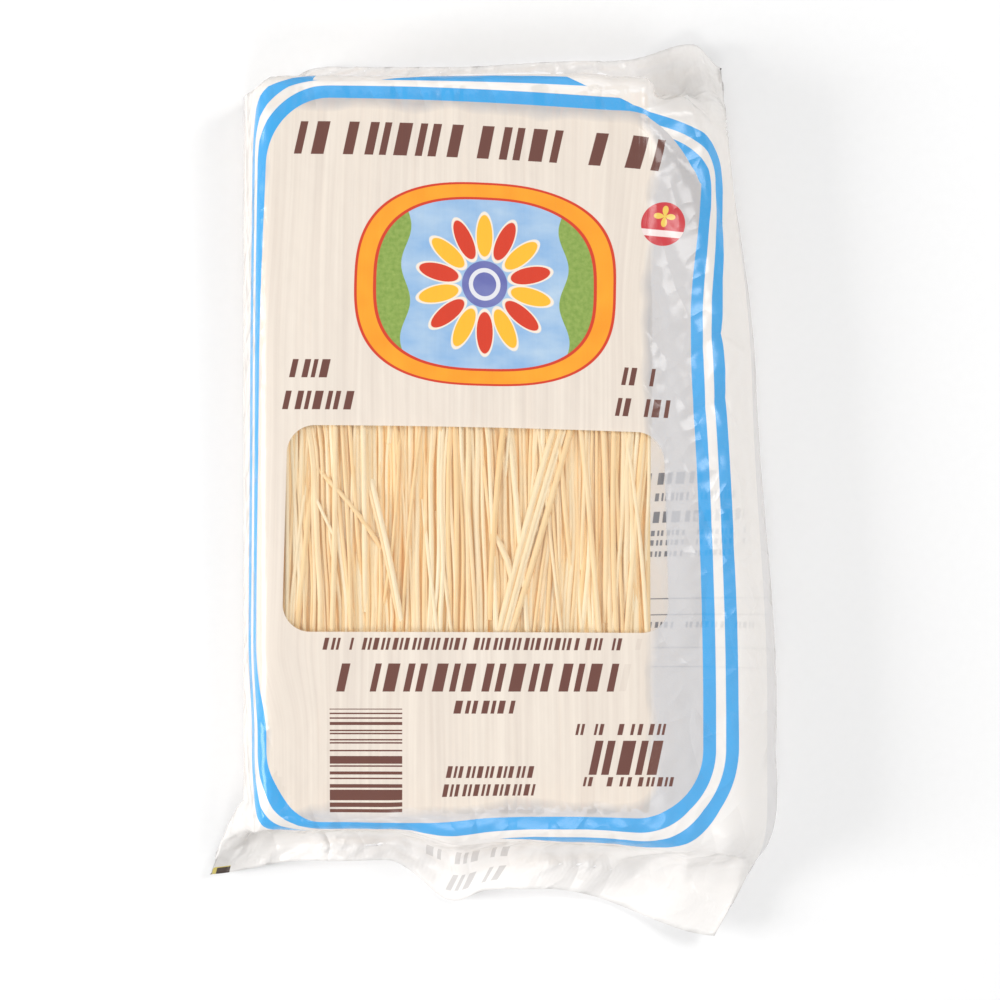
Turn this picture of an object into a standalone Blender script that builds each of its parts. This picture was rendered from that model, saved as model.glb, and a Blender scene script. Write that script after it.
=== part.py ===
"""A sealed film bag of dried rice vermicelli, lying on its back with its clear window up.

Two pieces: the bag, a closed solid with room for its contents and its window cut through
the front, and the bundle of noodles that it holds.
X runs across the bag, Y along it towards the end with the title, Z up from the table.
Everything is worked out round the middle of the printed panel, then moved so that the
origin is under the middle of the bag.
"""
import math
import random

import bmesh
import bpy
from mathutils import Vector

# Film bag, metres. The film is a tube 194 mm wide when flat, sealed across both ends.
FLAT_HALF_WIDTH = 0.097
FLAT_HALF_LENGTH = 0.160
TOP_Z = 0.0362
WALL = 0.0012
SEAL_THICKNESS = 0.0012
FIT_GAP = 0.0003

# Cross-section of the bag round the block: left side steep, right side slack and puffed out
LEFT_REACH = 0.0785
LEFT_BULGE_Z = 0.0095
LEFT_TOP = 0.0702
LEFT_FOOT = 0.0735
BLOCK_RIGHT_TOP = 0.0583
RIGHT_REACH_LOW = 0.1022
RIGHT_REACH_HIGH = 0.0938
RIGHT_SHOULDER_IN = 0.0125
RIGHT_SHOULDER_Z = 0.0312
RIGHT_NOSE_Z = 0.0150
RIGHT_FOOT_IN = 0.0220
RIGHT_SPREAD_START = 0.0300
RIGHT_SPREAD_LENGTH = 0.1100

# How far each bend of the cross-section reaches along the runs beside it
RIGHT_TOP_BEND = 0.0120
SHOULDER_BEND = 0.0080
NOSE_BEND = 0.0090
RIGHT_FOOT_BEND = 0.0100
LEFT_FOOT_BEND = 0.0045
LEFT_SIDE_BEND = 0.0050

# Where the front starts to fall towards each sealed end, measured along the flat film
BOTTOM_FALL = 0.110
TOP_FALL = 0.1165
CORNER_DIP = 0.014
CORNER_DIP_START = 0.042
CORNER_DIP_WIDTH = 0.020
FALL_DELAY = 0.10
FALL_SHARE = 0.72

# Sealed ends: reach of the seal's corners and of its edge, and its height off the table.
# A step is where it starts, how long it takes and how far it goes; a tip is its middle,
# its half width and its reach.
BOTTOM_SEAL_LEFT = -0.0896
BOTTOM_SEAL_RIGHT = 0.0790
BOTTOM_SEAL_Y = -0.1340
BOTTOM_SEAL_Z = 0.0052
BOTTOM_SEAL_TIP = (-0.008, 0.008, 0.0050)
BOTTOM_SEAL_STEPS = ((-0.055, -0.035, 0.0050), (-0.031, 0.020, 0.0095), (0.022, 0.057, 0.0155))
TOP_SEAL_LEFT = -0.0745
TOP_SEAL_RIGHT = 0.0815
TOP_SEAL_Y = 0.1312
TOP_SEAL_Z = 0.0022
TOP_SEAL_TIP = (0.071, 0.009, 0.0060)
TOP_SEAL_STEPS = ((-0.052, -0.022, 0.0095), (0.074, 0.0075, 0.0030))
TOP_SEAL_LIFT = (0.050, 0.025, 0.0060)
SEAL_WAVE_LENGTH = 0.062
SEAL_WAVE_HEIGHT = 0.0032
SEAL_WAVE_CREST = -0.046
SEAL_PINCH = 0.03
PLEAT_LENGTH = 0.043
PLEAT_HEIGHT = 0.0014
PLEAT_PHASE = 0.6
LEFT_FLARE = 0.7
RIGHT_FLARE = 2.0

# Clear window in the printed front
WINDOW_LEFT = -0.0623
WINDOW_RIGHT = 0.0619
WINDOW_BOTTOM = -0.0564
WINDOW_TOP = 0.0103
WINDOW_CORNER = 0.0090
WINDOW_DEPTH = 0.0030

# Bundle of noodles
BUNDLE_LEFT = -0.0680
BUNDLE_RIGHT = 0.0570
BUNDLE_BOTTOM = -0.1135
BUNDLE_TOP = 0.1180
BUNDLE_FLOOR_Z = 0.0015
CORE_TOP_Z = 0.0332
BUNDLE_TOP_Z = TOP_Z - WALL - FIT_GAP
LEFT_CORNER = 0.0090
RIGHT_CORNER = 0.0160
CORE_ROUNDING = 0.0040
STRAND_RADIUS = 0.0007
STRAND_SIDES = 5
STRAND_COUNT = 56
STRAND_STEPS = 6
STRAND_WANDER = 0.0011
STRAND_WANDER_TURNS = 4.0
STRAND_END_SHORT = 0.007
STRAND_END_SHORTEST = 0.016
STRAND_LEVEL_SPREAD = 0.0002
CROSSING_STEPS = 5
CROSSING_BOW = 0.0012
CROSSING_SINK = 0.0003
CROSSING_RISE = 0.0010
CROSSING_PITCH = 1.7
SEED = 11

# Noodles that lie across the others: start x, y, end x, y, and how many lie side by side
CROSSING_STRANDS = (
    (-0.0516, -0.0036, -0.0308, -0.0294, 1),
    (-0.0354, -0.0073, -0.0252, -0.0530, 2),
    (-0.0535, -0.0100, -0.0442, -0.0291, 1),
    (0.0321, 0.0060, 0.0066, -0.0530, 3),
    (0.0048, -0.0236, 0.0118, -0.0433, 1),
)

# Colours and shading
FILM_COLOUR = (0.86, 0.87, 0.89)
FILM_ROUGHNESS = 0.28
NOODLE_COLOUR = (0.87, 0.70, 0.42)
NOODLE_ROUGHNESS = 0.55
SHARP_ANGLE = 35.0

# How finely the film's skin is laid out
COLUMNS = 56
BEND_SPACING = 0.030
BODY_ROWS = 15
END_ROWS = 12
PROFILE_STEPS = 24


def clear_scene():
    """Remove whatever the file holds."""
    for item in list(bpy.data.objects):
        bpy.data.objects.remove(item, do_unlink=True)


def eased(value):
    """A smooth step from 0 to 1."""
    value = min(1.0, max(0.0, value))
    return value * value * (3.0 - 2.0 * value)


def hump(value, width):
    """A smooth bump, 1 in its middle."""
    return math.exp(-((value / width) ** 2))


def material(name, colour, roughness):
    """A plain Principled finish."""
    finish = bpy.data.materials.new(name)
    finish.use_nodes = True
    shader = finish.node_tree.nodes["Principled BSDF"]
    shader.inputs["Base Color"].default_value = (*colour, 1.0)
    shader.inputs["Roughness"].default_value = roughness
    shader.inputs["Metallic"].default_value = 0.0
    return finish


def add_object(name, mesh):
    """Link a mesh to the scene as an object."""
    item = bpy.data.objects.new(name, mesh)
    bpy.context.scene.collection.objects.link(item)
    return item


def finish_with(item, finish):
    """Give an object its one material, and smooth shading with crisp corners."""
    item.data.materials.clear()
    item.data.materials.append(finish)
    item.data.shade_smooth()
    item.data.set_sharp_from_angle(angle=math.radians(SHARP_ANGLE))


def bend(before, corner, after, trim, steps=7):
    """Points of a bend that leaves one straight run and joins the next."""
    start = corner + (before - corner).normalized() * trim
    end = corner + (after - corner).normalized() * trim
    points = []
    for step in range(steps + 1):
        part = step / steps
        points.append(start.lerp(corner, part).lerp(corner.lerp(end, part), part))
    return points


def right_reach(y):
    """How far the slack side reaches, more towards the bottom of the bag."""
    spread = eased((RIGHT_SPREAD_START - y) / RIGHT_SPREAD_LENGTH)
    return RIGHT_REACH_HIGH + (RIGHT_REACH_LOW - RIGHT_REACH_HIGH) * spread


def body_section(y):
    """The film across the bag at y, closed, from the panel's middle round to the right."""
    reach = right_reach(y)
    corners = (
        (Vector((BLOCK_RIGHT_TOP, TOP_Z)), RIGHT_TOP_BEND),
        (Vector((reach - RIGHT_SHOULDER_IN, RIGHT_SHOULDER_Z)), SHOULDER_BEND),
        (Vector((reach, RIGHT_NOSE_Z)), NOSE_BEND),
        (Vector((reach - RIGHT_FOOT_IN, 0.0)), RIGHT_FOOT_BEND),
        (Vector((-LEFT_FOOT, 0.0)), LEFT_FOOT_BEND),
        (Vector((-LEFT_REACH, LEFT_BULGE_Z)), LEFT_SIDE_BEND),
        (Vector((-LEFT_TOP, TOP_Z)), LEFT_SIDE_BEND),
    )
    points = [Vector((0.0, TOP_Z))]
    for place, (corner, trim) in enumerate(corners):
        before = corners[place - 1][0]
        after = corners[(place + 1) % len(corners)][0]
        points.extend(bend(before, corner, after, trim))
    points.append(points[0].copy())
    return points


def travelled(points):
    """Length from the first point to each point."""
    lengths = [0.0]
    for here, there in zip(points, points[1:]):
        lengths.append(lengths[-1] + (there - here).length)
    return lengths


def column_places():
    """Fractions of the way round at which columns of the skin lie, closer at the bends."""
    points = body_section(0.0)
    weights = [0.0]
    for place, (here, there) in enumerate(zip(points, points[1:])):
        after = points[(place + 2) % (len(points) - 1)]
        turn = (there - here).angle(after - there, 0.0)
        weights.append(weights[-1] + (there - here).length + BEND_SPACING * turn)
    lengths = travelled(points)
    places = []
    place = 0
    for column in range(COLUMNS):
        wanted = weights[-1] * column / COLUMNS
        while weights[place + 1] < wanted:
            place += 1
        part = (wanted - weights[place]) / (weights[place + 1] - weights[place])
        length = lengths[place] + part * (lengths[place + 1] - lengths[place])
        places.append(length / lengths[-1])
    return places


def sampled(points, places):
    """Points at given fractions of the way round a closed run of points."""
    lengths = travelled(points)
    found = []
    place = 0
    for fraction in places:
        wanted = fraction * lengths[-1]
        while lengths[place + 1] < wanted:
            place += 1
        part = (wanted - lengths[place]) / (lengths[place + 1] - lengths[place])
        found.append(points[place].lerp(points[place + 1], part))
    return found


def across_film(fraction):
    """Distance across the flat film, and whether it is the front, from a fraction round."""
    around = 4.0 * fraction
    if around <= 1.0:
        return around * FLAT_HALF_WIDTH, True
    if around < 3.0:
        return (2.0 - around) * FLAT_HALF_WIDTH, False
    return (around - 4.0) * FLAT_HALF_WIDTH, True


def stepped(x, steps):
    """Sum of smooth steps at x."""
    return sum(reach * eased((x - start) / length) for start, length, reach in steps)


def bottom_seal(x):
    """Edge of the bottom seal: it waves in and out and reaches furthest at the right."""
    middle, half_width, reach = BOTTOM_SEAL_TIP
    tip = reach * hump(x - middle, half_width)
    wave = math.cos(2.0 * math.pi * (x - SEAL_WAVE_CREST) / SEAL_WAVE_LENGTH)
    y = BOTTOM_SEAL_Y - tip - stepped(x, BOTTOM_SEAL_STEPS)
    return y, BOTTOM_SEAL_Z + SEAL_WAVE_HEIGHT * wave


def top_seal(x):
    """Edge of the top seal, which hangs down against the end; its right corner stands out."""
    middle, half_width, reach = TOP_SEAL_TIP
    tip = reach * hump(x - middle, half_width)
    y = TOP_SEAL_Y + tip - stepped(x, TOP_SEAL_STEPS)
    return y, TOP_SEAL_Z + stepped(x, (TOP_SEAL_LIFT,))


def end_run(drop, run, film):
    """How the film's fall and its way outwards share a length of film, as two tables."""
    falls = []
    ways = [0.0]
    for step in range(PROFILE_STEPS + 1):
        falls.append(eased((step / PROFILE_STEPS - FALL_DELAY) / FALL_SHARE))
    length = film / PROFILE_STEPS
    least = 0.2 * length
    for fall, next_fall in zip(falls, falls[1:]):
        down = abs(drop) * (next_fall - fall)
        ways.append(ways[-1] + math.sqrt(max(length * length - down * down, least * least)))
    total = ways[-1]
    return falls, [way / total * run for way in ways]


def read_table(table, fraction):
    """Value of an evenly spaced table at a fraction of its length."""
    spot = fraction * (len(table) - 1)
    place = min(int(spot), len(table) - 2)
    return table[place] + (spot - place) * (table[place + 1] - table[place])


def skin_point(along, fraction, section):
    """A point of the film: along is the distance along the flat film from its middle."""
    across, front = across_film(fraction)
    top_end = along > 0.0
    start = TOP_FALL if top_end else BOTTOM_FALL
    if top_end:
        start -= CORNER_DIP * eased((across - CORNER_DIP_START) / CORNER_DIP_WIDTH)
    sign = 1.0 if top_end else -1.0
    body = Vector((section.x, max(-start, min(start, along)), section.y))
    beyond = abs(along) - start
    if beyond <= 0.0:
        return body
    film = FLAT_HALF_LENGTH - start
    spread = (across / FLAT_HALF_WIDTH + 1.0) / 2.0
    if top_end:
        seal_x = TOP_SEAL_LEFT + (TOP_SEAL_RIGHT - TOP_SEAL_LEFT) * spread
        seal_y, seal_z = top_seal(seal_x)
    else:
        seal_x = BOTTOM_SEAL_LEFT + (BOTTOM_SEAL_RIGHT - BOTTOM_SEAL_LEFT) * spread
        seal_y, seal_z = bottom_seal(seal_x)
    edge = min(1.0, min(spread, 1.0 - spread) / SEAL_PINCH)
    seal_z += (0.5 if front else -0.5) * SEAL_THICKNESS * edge
    part = beyond / film
    falls, ways = end_run(section.y - seal_z, abs(seal_y - body.y), film)
    fall = read_table(falls, part)
    way = read_table(ways, part)
    sideways = part ** (LEFT_FLARE + (RIGHT_FLARE - LEFT_FLARE) * spread)
    x = section.x + (seal_x - section.x) * sideways
    z = section.y + (seal_z - section.y) * fall
    if front:
        swell = 4.0 * part * (1.0 - part) * edge
        pleat = math.sin(2.0 * math.pi * across / PLEAT_LENGTH + PLEAT_PHASE)
        z += PLEAT_HEIGHT * swell * pleat
    return Vector((x, body.y + sign * way, z))


def row_places():
    """Distances along the flat film of the rows of the skin."""
    rows = []
    for row in range(END_ROWS):
        rows.append(-FLAT_HALF_LENGTH + (FLAT_HALF_LENGTH - BOTTOM_FALL) * row / END_ROWS)
    low_top = TOP_FALL - CORNER_DIP
    for row in range(BODY_ROWS):
        rows.append(-BOTTOM_FALL + (low_top + BOTTOM_FALL) * row / BODY_ROWS)
    for row in range(END_ROWS + 1):
        rows.append(low_top + (FLAT_HALF_LENGTH - low_top) * row / END_ROWS)
    return rows


def skin_rows():
    """All the points of the film, row by row, from the bottom seal to the top one."""
    places = column_places()
    rows = []
    for along in row_places():
        section = sampled(body_section(along), places)
        rows.append([skin_point(along, place, spot) for place, spot in zip(places, section)])
    return rows


def middle_of(rows):
    """Middle of the skin's extent in X and Y."""
    xs = [point.x for row in rows for point in row]
    ys = [point.y for row in rows for point in row]
    return Vector(((min(xs) + max(xs)) / 2.0, (min(ys) + max(ys)) / 2.0, 0.0))


def skin_mesh(rows):
    """The bag's outer skin as one closed mesh."""
    shape = bmesh.new()
    loops = [[shape.verts.new(point) for point in row] for row in rows]
    for lower, upper in zip(loops, loops[1:]):
        for place in range(COLUMNS):
            following = (place + 1) % COLUMNS
            shape.faces.new((lower[place], lower[following], upper[following], upper[place]))
    for loop in (loops[0], loops[-1]):
        close_seal(shape, loop)
    bmesh.ops.triangulate(shape, faces=shape.faces[:], quad_method="SHORT_EDGE")
    bmesh.ops.recalc_face_normals(shape, faces=shape.faces[:])
    mesh = bpy.data.meshes.new("skin")
    shape.to_mesh(mesh)
    shape.free()
    return mesh


def close_seal(shape, loop):
    """Join the front and the back of a seal's edge with a narrow strip of faces."""
    by_x = sorted(loop, key=lambda corner: corner.co.x)
    left = loop.index(by_x[0])
    right = loop.index(by_x[-1])
    front = []
    back = []
    place = left
    while place != right:
        front.append(loop[place])
        place = (place + 1) % COLUMNS
    front.append(loop[right])
    place = left
    while place != right:
        back.append(loop[place])
        place = (place - 1) % COLUMNS
    back.append(loop[right])
    upper, lower = 0, 0
    while upper < len(front) - 1 or lower < len(back) - 1:
        take_front = lower == len(back) - 1
        if not take_front and upper < len(front) - 1:
            take_front = front[upper + 1].co.x < back[lower + 1].co.x
        if take_front:
            corners = {front[upper], front[upper + 1], back[lower]}
            upper += 1
        else:
            corners = {front[upper], back[lower], back[lower + 1]}
            lower += 1
        if len(corners) == 3:
            shape.faces.new(tuple(corners))


def plan_outline(grow):
    """Outline of the noodle block seen from above, with its corners rounded."""
    left, right = BUNDLE_LEFT - grow, BUNDLE_RIGHT + grow
    low, high = BUNDLE_BOTTOM - grow, BUNDLE_TOP + grow
    corners = (
        (Vector((right, high)), RIGHT_CORNER),
        (Vector((left, high)), LEFT_CORNER),
        (Vector((left, low)), LEFT_CORNER),
        (Vector((right, low)), RIGHT_CORNER),
    )
    points = []
    for place, (corner, trim) in enumerate(corners):
        before = corners[place - 1][0]
        after = corners[(place + 1) % len(corners)][0]
        points.extend(bend(before, corner, after, trim, 4))
    return points


def extruded(name, outline, low, high, rounding=0.0):
    """A block of a given outline between two heights, its rims rounded."""
    shape = bmesh.new()
    floor = shape.faces.new([shape.verts.new((spot.x, spot.y, low)) for spot in outline])
    raised = bmesh.ops.extrude_face_region(shape, geom=[floor])
    moved = [item for item in raised["geom"] if isinstance(item, bmesh.types.BMVert)]
    bmesh.ops.translate(shape, verts=moved, vec=(0.0, 0.0, high - low))
    if rounding:
        rims = [edge for edge in shape.edges
                if abs(edge.verts[0].co.z - edge.verts[1].co.z) < 1e-6]
        bmesh.ops.bevel(shape, geom=rims, offset=rounding, segments=2, profile=0.5,
                        affect="EDGES")
    bmesh.ops.triangulate(shape, faces=shape.faces[:])
    bmesh.ops.recalc_face_normals(shape, faces=shape.faces[:])
    mesh = bpy.data.meshes.new(name)
    shape.to_mesh(mesh)
    shape.free()
    return add_object(name, mesh)


def window_outline():
    """Outline of the clear window."""
    corners = [
        Vector((WINDOW_RIGHT, WINDOW_TOP)),
        Vector((WINDOW_LEFT, WINDOW_TOP)),
        Vector((WINDOW_LEFT, WINDOW_BOTTOM)),
        Vector((WINDOW_RIGHT, WINDOW_BOTTOM)),
    ]
    points = []
    for place, corner in enumerate(corners):
        before = corners[place - 1]
        after = corners[(place + 1) % len(corners)]
        points.extend(bend(before, corner, after, WINDOW_CORNER, 5))
    return points


def apply_boolean(item, operation, target, collection=False):
    """Cut or join, and keep only the result."""
    change = item.modifiers.new("shape", "BOOLEAN")
    change.operation = operation
    change.solver = "EXACT"
    if collection:
        change.operand_type = "COLLECTION"
        change.collection = target
    else:
        change.object = target
    depsgraph = bpy.context.evaluated_depsgraph_get()
    result = bpy.data.meshes.new_from_object(item.evaluated_get(depsgraph))
    item.modifiers.remove(change)
    item.data = result


def make_bag(rows):
    """The film bag, open only where its window is clear."""
    bag = add_object("bag", skin_mesh(rows))
    room = extruded("room", plan_outline(FIT_GAP), BUNDLE_FLOOR_Z - FIT_GAP,
                    BUNDLE_TOP_Z + FIT_GAP, CORE_ROUNDING - FIT_GAP)
    apply_boolean(bag, "DIFFERENCE", room)
    pane = extruded("pane", window_outline(), TOP_Z - WINDOW_DEPTH, TOP_Z + WINDOW_DEPTH)
    apply_boolean(bag, "DIFFERENCE", pane)
    for cutter in (room, pane):
        bpy.data.objects.remove(cutter, do_unlink=True)
    finish_with(bag, material("printed_film", FILM_COLOUR, FILM_ROUGHNESS))
    return bag


def keep_largest_shell(mesh):
    """Drop loose scraps, and fill the hollows that joining has sealed."""
    shape = bmesh.new()
    shape.from_mesh(mesh)
    shells = []
    waiting = set(shape.faces)
    while waiting:
        shell = set()
        rim = [waiting.pop()]
        while rim:
            face = rim.pop()
            if face in shell:
                continue
            shell.add(face)
            for edge in face.edges:
                if len(edge.link_faces) == 2:
                    rim.extend(edge.link_faces)
        waiting -= shell
        shells.append(shell)
    largest = max(shells, key=len)
    dropped = [face for shell in shells if shell is not largest for face in shell]
    bmesh.ops.delete(shape, geom=dropped, context="FACES")
    shape.to_mesh(mesh)
    shape.free()


def tube_mesh(name, path):
    """A closed tube round a path that runs roughly along Y."""
    shape = bmesh.new()
    rings = []
    for place, spot in enumerate(path):
        ahead = path[min(place + 1, len(path) - 1)]
        behind = path[max(place - 1, 0)]
        along = (ahead - behind).normalized()
        side = along.cross(Vector((0.0, 0.0, 1.0))).normalized()
        up = side.cross(along)
        ring = []
        for corner in range(STRAND_SIDES):
            turn = math.pi / 2.0 + 2.0 * math.pi * corner / STRAND_SIDES
            offset = side * math.cos(turn) + up * math.sin(turn)
            ring.append(shape.verts.new(spot + offset * STRAND_RADIUS))
        rings.append(ring)
    for first, second in zip(rings, rings[1:]):
        for corner in range(STRAND_SIDES):
            following = (corner + 1) % STRAND_SIDES
            shape.faces.new((first[corner], first[following], second[following], second[corner]))
    shape.faces.new(rings[0])
    shape.faces.new(rings[-1])
    bmesh.ops.recalc_face_normals(shape, faces=shape.faces[:])
    mesh = bpy.data.meshes.new(name)
    shape.to_mesh(mesh)
    shape.free()
    return mesh


def lengthwise_paths(chance):
    """Noodles along the bundle, side by side, each wandering a little."""
    paths = []
    inset = CORE_ROUNDING
    pitch = (BUNDLE_RIGHT - BUNDLE_LEFT - 2.0 * inset) / (STRAND_COUNT - 1)
    for place in range(STRAND_COUNT):
        x = BUNDLE_LEFT + inset + pitch * place
        phase = chance.uniform(0.0, 2.0 * math.pi)
        sway = STRAND_WANDER * chance.uniform(0.5, 1.0)
        low = BUNDLE_BOTTOM + chance.uniform(STRAND_END_SHORT, STRAND_END_SHORTEST)
        high = BUNDLE_TOP - chance.uniform(STRAND_END_SHORT, STRAND_END_SHORTEST)
        if x > BUNDLE_RIGHT - RIGHT_CORNER:
            low += RIGHT_CORNER - inset
            high -= RIGHT_CORNER - inset
        level = CORE_TOP_Z + chance.uniform(-STRAND_LEVEL_SPREAD, STRAND_LEVEL_SPREAD)
        path = []
        for step in range(STRAND_STEPS + 1):
            part = step / STRAND_STEPS
            y = low + (high - low) * part
            aside = sway * math.sin(phase + STRAND_WANDER_TURNS * part)
            path.append(Vector((x + aside, y, level)))
        paths.append(path)
    return paths


def crossing_paths():
    """Noodles that lie aslant on top of the others, singly or a few side by side."""
    paths = []
    for start_x, start_y, end_x, end_y, count in CROSSING_STRANDS:
        start = Vector((start_x, start_y, 0.0))
        end = Vector((end_x, end_y, 0.0))
        side = (end - start).cross(Vector((0.0, 0.0, 1.0))).normalized()
        for place in range(count):
            aside = side * (place - (count - 1) / 2.0) * STRAND_RADIUS * CROSSING_PITCH
            path = []
            for step in range(CROSSING_STEPS + 1):
                part = step / CROSSING_STEPS
                bow = max(0.0, math.sin(math.pi * part))
                spot = start.lerp(end, part) + aside + side * CROSSING_BOW * bow
                spot.z = CORE_TOP_Z - CROSSING_SINK + CROSSING_RISE * math.sqrt(bow)
                path.append(spot)
            paths.append(path)
    return paths


def make_bundle():
    """The bundle: a core with the noodles that show on it fused into one solid."""
    bundle = extruded("vermicelli_bundle", plan_outline(0.0), BUNDLE_FLOOR_Z, CORE_TOP_Z,
                      CORE_ROUNDING)
    group = bpy.data.collections.new("strands")
    bpy.context.scene.collection.children.link(group)
    chance = random.Random(SEED)
    for place, path in enumerate(lengthwise_paths(chance) + crossing_paths()):
        name = f"strand_{place}"
        group.objects.link(bpy.data.objects.new(name, tube_mesh(name, path)))
    apply_boolean(bundle, "UNION", group, collection=True)
    keep_largest_shell(bundle.data)
    for item in list(group.objects):
        bpy.data.objects.remove(item, do_unlink=True)
    bpy.data.collections.remove(group)
    finish_with(bundle, material("rice_noodle", NOODLE_COLOUR, NOODLE_ROUGHNESS))
    return bundle


def main():
    """Build the bag and its bundle, and stand the origin under the bag's middle."""
    clear_scene()
    rows = skin_rows()
    middle = middle_of(rows)
    pieces = [make_bag(rows), make_bundle()]
    for piece in pieces:
        for corner in piece.data.vertices:
            corner.co -= middle


main()
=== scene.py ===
"""Looks of a sealed bag of dried rice vermicelli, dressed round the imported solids.

The film is one closed skin that is laid out flat, wrapped round the block and relaxed until
its slack has gone into creases. Its print is drawn by the shader in metres on the flat film.
The noodles are tubes swept along paths by Geometry Nodes.
"""
import math
import random

import bmesh
import bpy
import numpy as np
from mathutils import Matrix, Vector


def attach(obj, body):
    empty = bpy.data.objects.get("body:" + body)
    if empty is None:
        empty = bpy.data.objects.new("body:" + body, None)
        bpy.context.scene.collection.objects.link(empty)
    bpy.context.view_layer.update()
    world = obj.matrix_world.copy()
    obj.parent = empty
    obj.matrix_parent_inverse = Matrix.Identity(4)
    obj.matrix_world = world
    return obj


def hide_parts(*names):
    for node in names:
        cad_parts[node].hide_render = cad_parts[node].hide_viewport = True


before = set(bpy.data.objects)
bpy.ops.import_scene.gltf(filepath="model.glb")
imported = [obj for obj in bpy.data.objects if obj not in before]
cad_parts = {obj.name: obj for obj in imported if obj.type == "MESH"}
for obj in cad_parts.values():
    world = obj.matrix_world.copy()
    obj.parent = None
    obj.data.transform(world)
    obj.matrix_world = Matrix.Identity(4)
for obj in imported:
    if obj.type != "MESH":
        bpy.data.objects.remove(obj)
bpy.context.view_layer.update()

# Film bag, metres, as the solids have it
FLAT_HALF_WIDTH = 0.097
FLAT_HALF_LENGTH = 0.160
TOP_Z = 0.0362

# Cross-section of the bag round the block: left side steep, right side slack and puffed out
LEFT_REACH = 0.0785
LEFT_BULGE_Z = 0.0095
LEFT_TOP = 0.0702
LEFT_FOOT = 0.0735
BLOCK_RIGHT_TOP = 0.0583
RIGHT_REACH_LOW = 0.1022
RIGHT_REACH_HIGH = 0.0955
RIGHT_TAPER = 0.0100
RIGHT_TAPER_START = 0.0200
RIGHT_TAPER_LENGTH = 0.1000
RIGHT_SHOULDER_IN = 0.0125
RIGHT_SHOULDER_Z = 0.0312
RIGHT_NOSE_Z = 0.0150
RIGHT_FOOT_IN = 0.0220
RIGHT_SPREAD_START = 0.0300
RIGHT_SPREAD_LENGTH = 0.1100
RIGHT_TOP_BEND = 0.0120
SHOULDER_BEND = 0.0080
NOSE_BEND = 0.0090
RIGHT_FOOT_BEND = 0.0100
LEFT_FOOT_BEND = 0.0045
LEFT_SIDE_BEND = 0.0050

# Where the film starts to fall towards each sealed end, along the flat film
BOTTOM_FALL = 0.1135
TOP_FALL = 0.1195
CORNER_DIP = 0.014
CORNER_DIP_START = 0.042
CORNER_DIP_WIDTH = 0.020
FALL_DELAY = 0.10
FALL_SHARE = 0.72
FALL_STEPS = 24

# Sealed ends: steps are start, length and reach; a tip is its middle, half width and reach
BOTTOM_SEAL = (-0.0896, 0.0790, -0.1340, 0.0052)
BOTTOM_SEAL_TIP = (-0.008, 0.008, 0.0050)
BOTTOM_SEAL_STEPS = ((-0.055, -0.035, 0.0050), (-0.031, 0.020, 0.0095), (0.022, 0.057, 0.0155))
TOP_SEAL = (-0.0745, 0.0815, 0.1312, 0.0022)
TOP_SEAL_TIP = (0.0700, 0.0130, 0.0046)
TOP_SEAL_STEPS = ((-0.052, -0.022, 0.0095), (-0.010, 0.045, -0.0020), (0.0720, 0.0095, 0.0060))
TOP_SEAL_LIFT = (0.050, 0.025, 0.0060)
SEAL_WAVE_LENGTH = 0.062
SEAL_WAVE_HEIGHT = 0.0032
SEAL_WAVE_CREST = -0.046
SEAL_BAND = 0.0100
SEAL_GAP = 0.0003
LOOSE_GAP = 0.0020
BACK_DROP = 0.65
FOLD_HOLD = 0.050
LEFT_FLARE = 0.7
RIGHT_FLARE = 2.0

# The block of noodles inside: left, right, bottom, top, floor and height
BLOCK = (-0.0688, 0.0578, -0.1195, 0.1235, 0.0006, 0.0354)
BLOCK_ROUNDING = 0.0045

# How finely the film is laid out, and how long it relaxes at each fineness
ROWS = 108
COLUMNS = 128
COARSE_ROUNDS = 260
FINE_ROUNDS = 110
FILM_SEED = 7
FILM_FLOOR = 0.0002


def eased(value):
    """A smooth step from 0 to 1, for numbers and arrays."""
    value = np.clip(value, 0.0, 1.0)
    return value * value * (3.0 - 2.0 * value)


def stepped(x, steps):
    """Sum of smooth steps at x."""
    return sum(reach * eased((x - start) / length) for start, length, reach in steps)


def tipped(x, tip):
    """A rounded tip at x."""
    middle, half_width, reach = tip
    return reach * np.exp(-(((x - middle) / half_width) ** 2))


def bend(before, corner, after, trim, steps=7):
    """Points of a bend that leaves one straight run and joins the next."""
    start = corner + (before - corner).normalized() * min(trim, (before - corner).length / 2.0)
    end = corner + (after - corner).normalized() * min(trim, (after - corner).length / 2.0)
    points = []
    for step in range(steps + 1):
        part = step / steps
        points.append(start.lerp(corner, part).lerp(corner.lerp(end, part), part))
    return points


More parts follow.
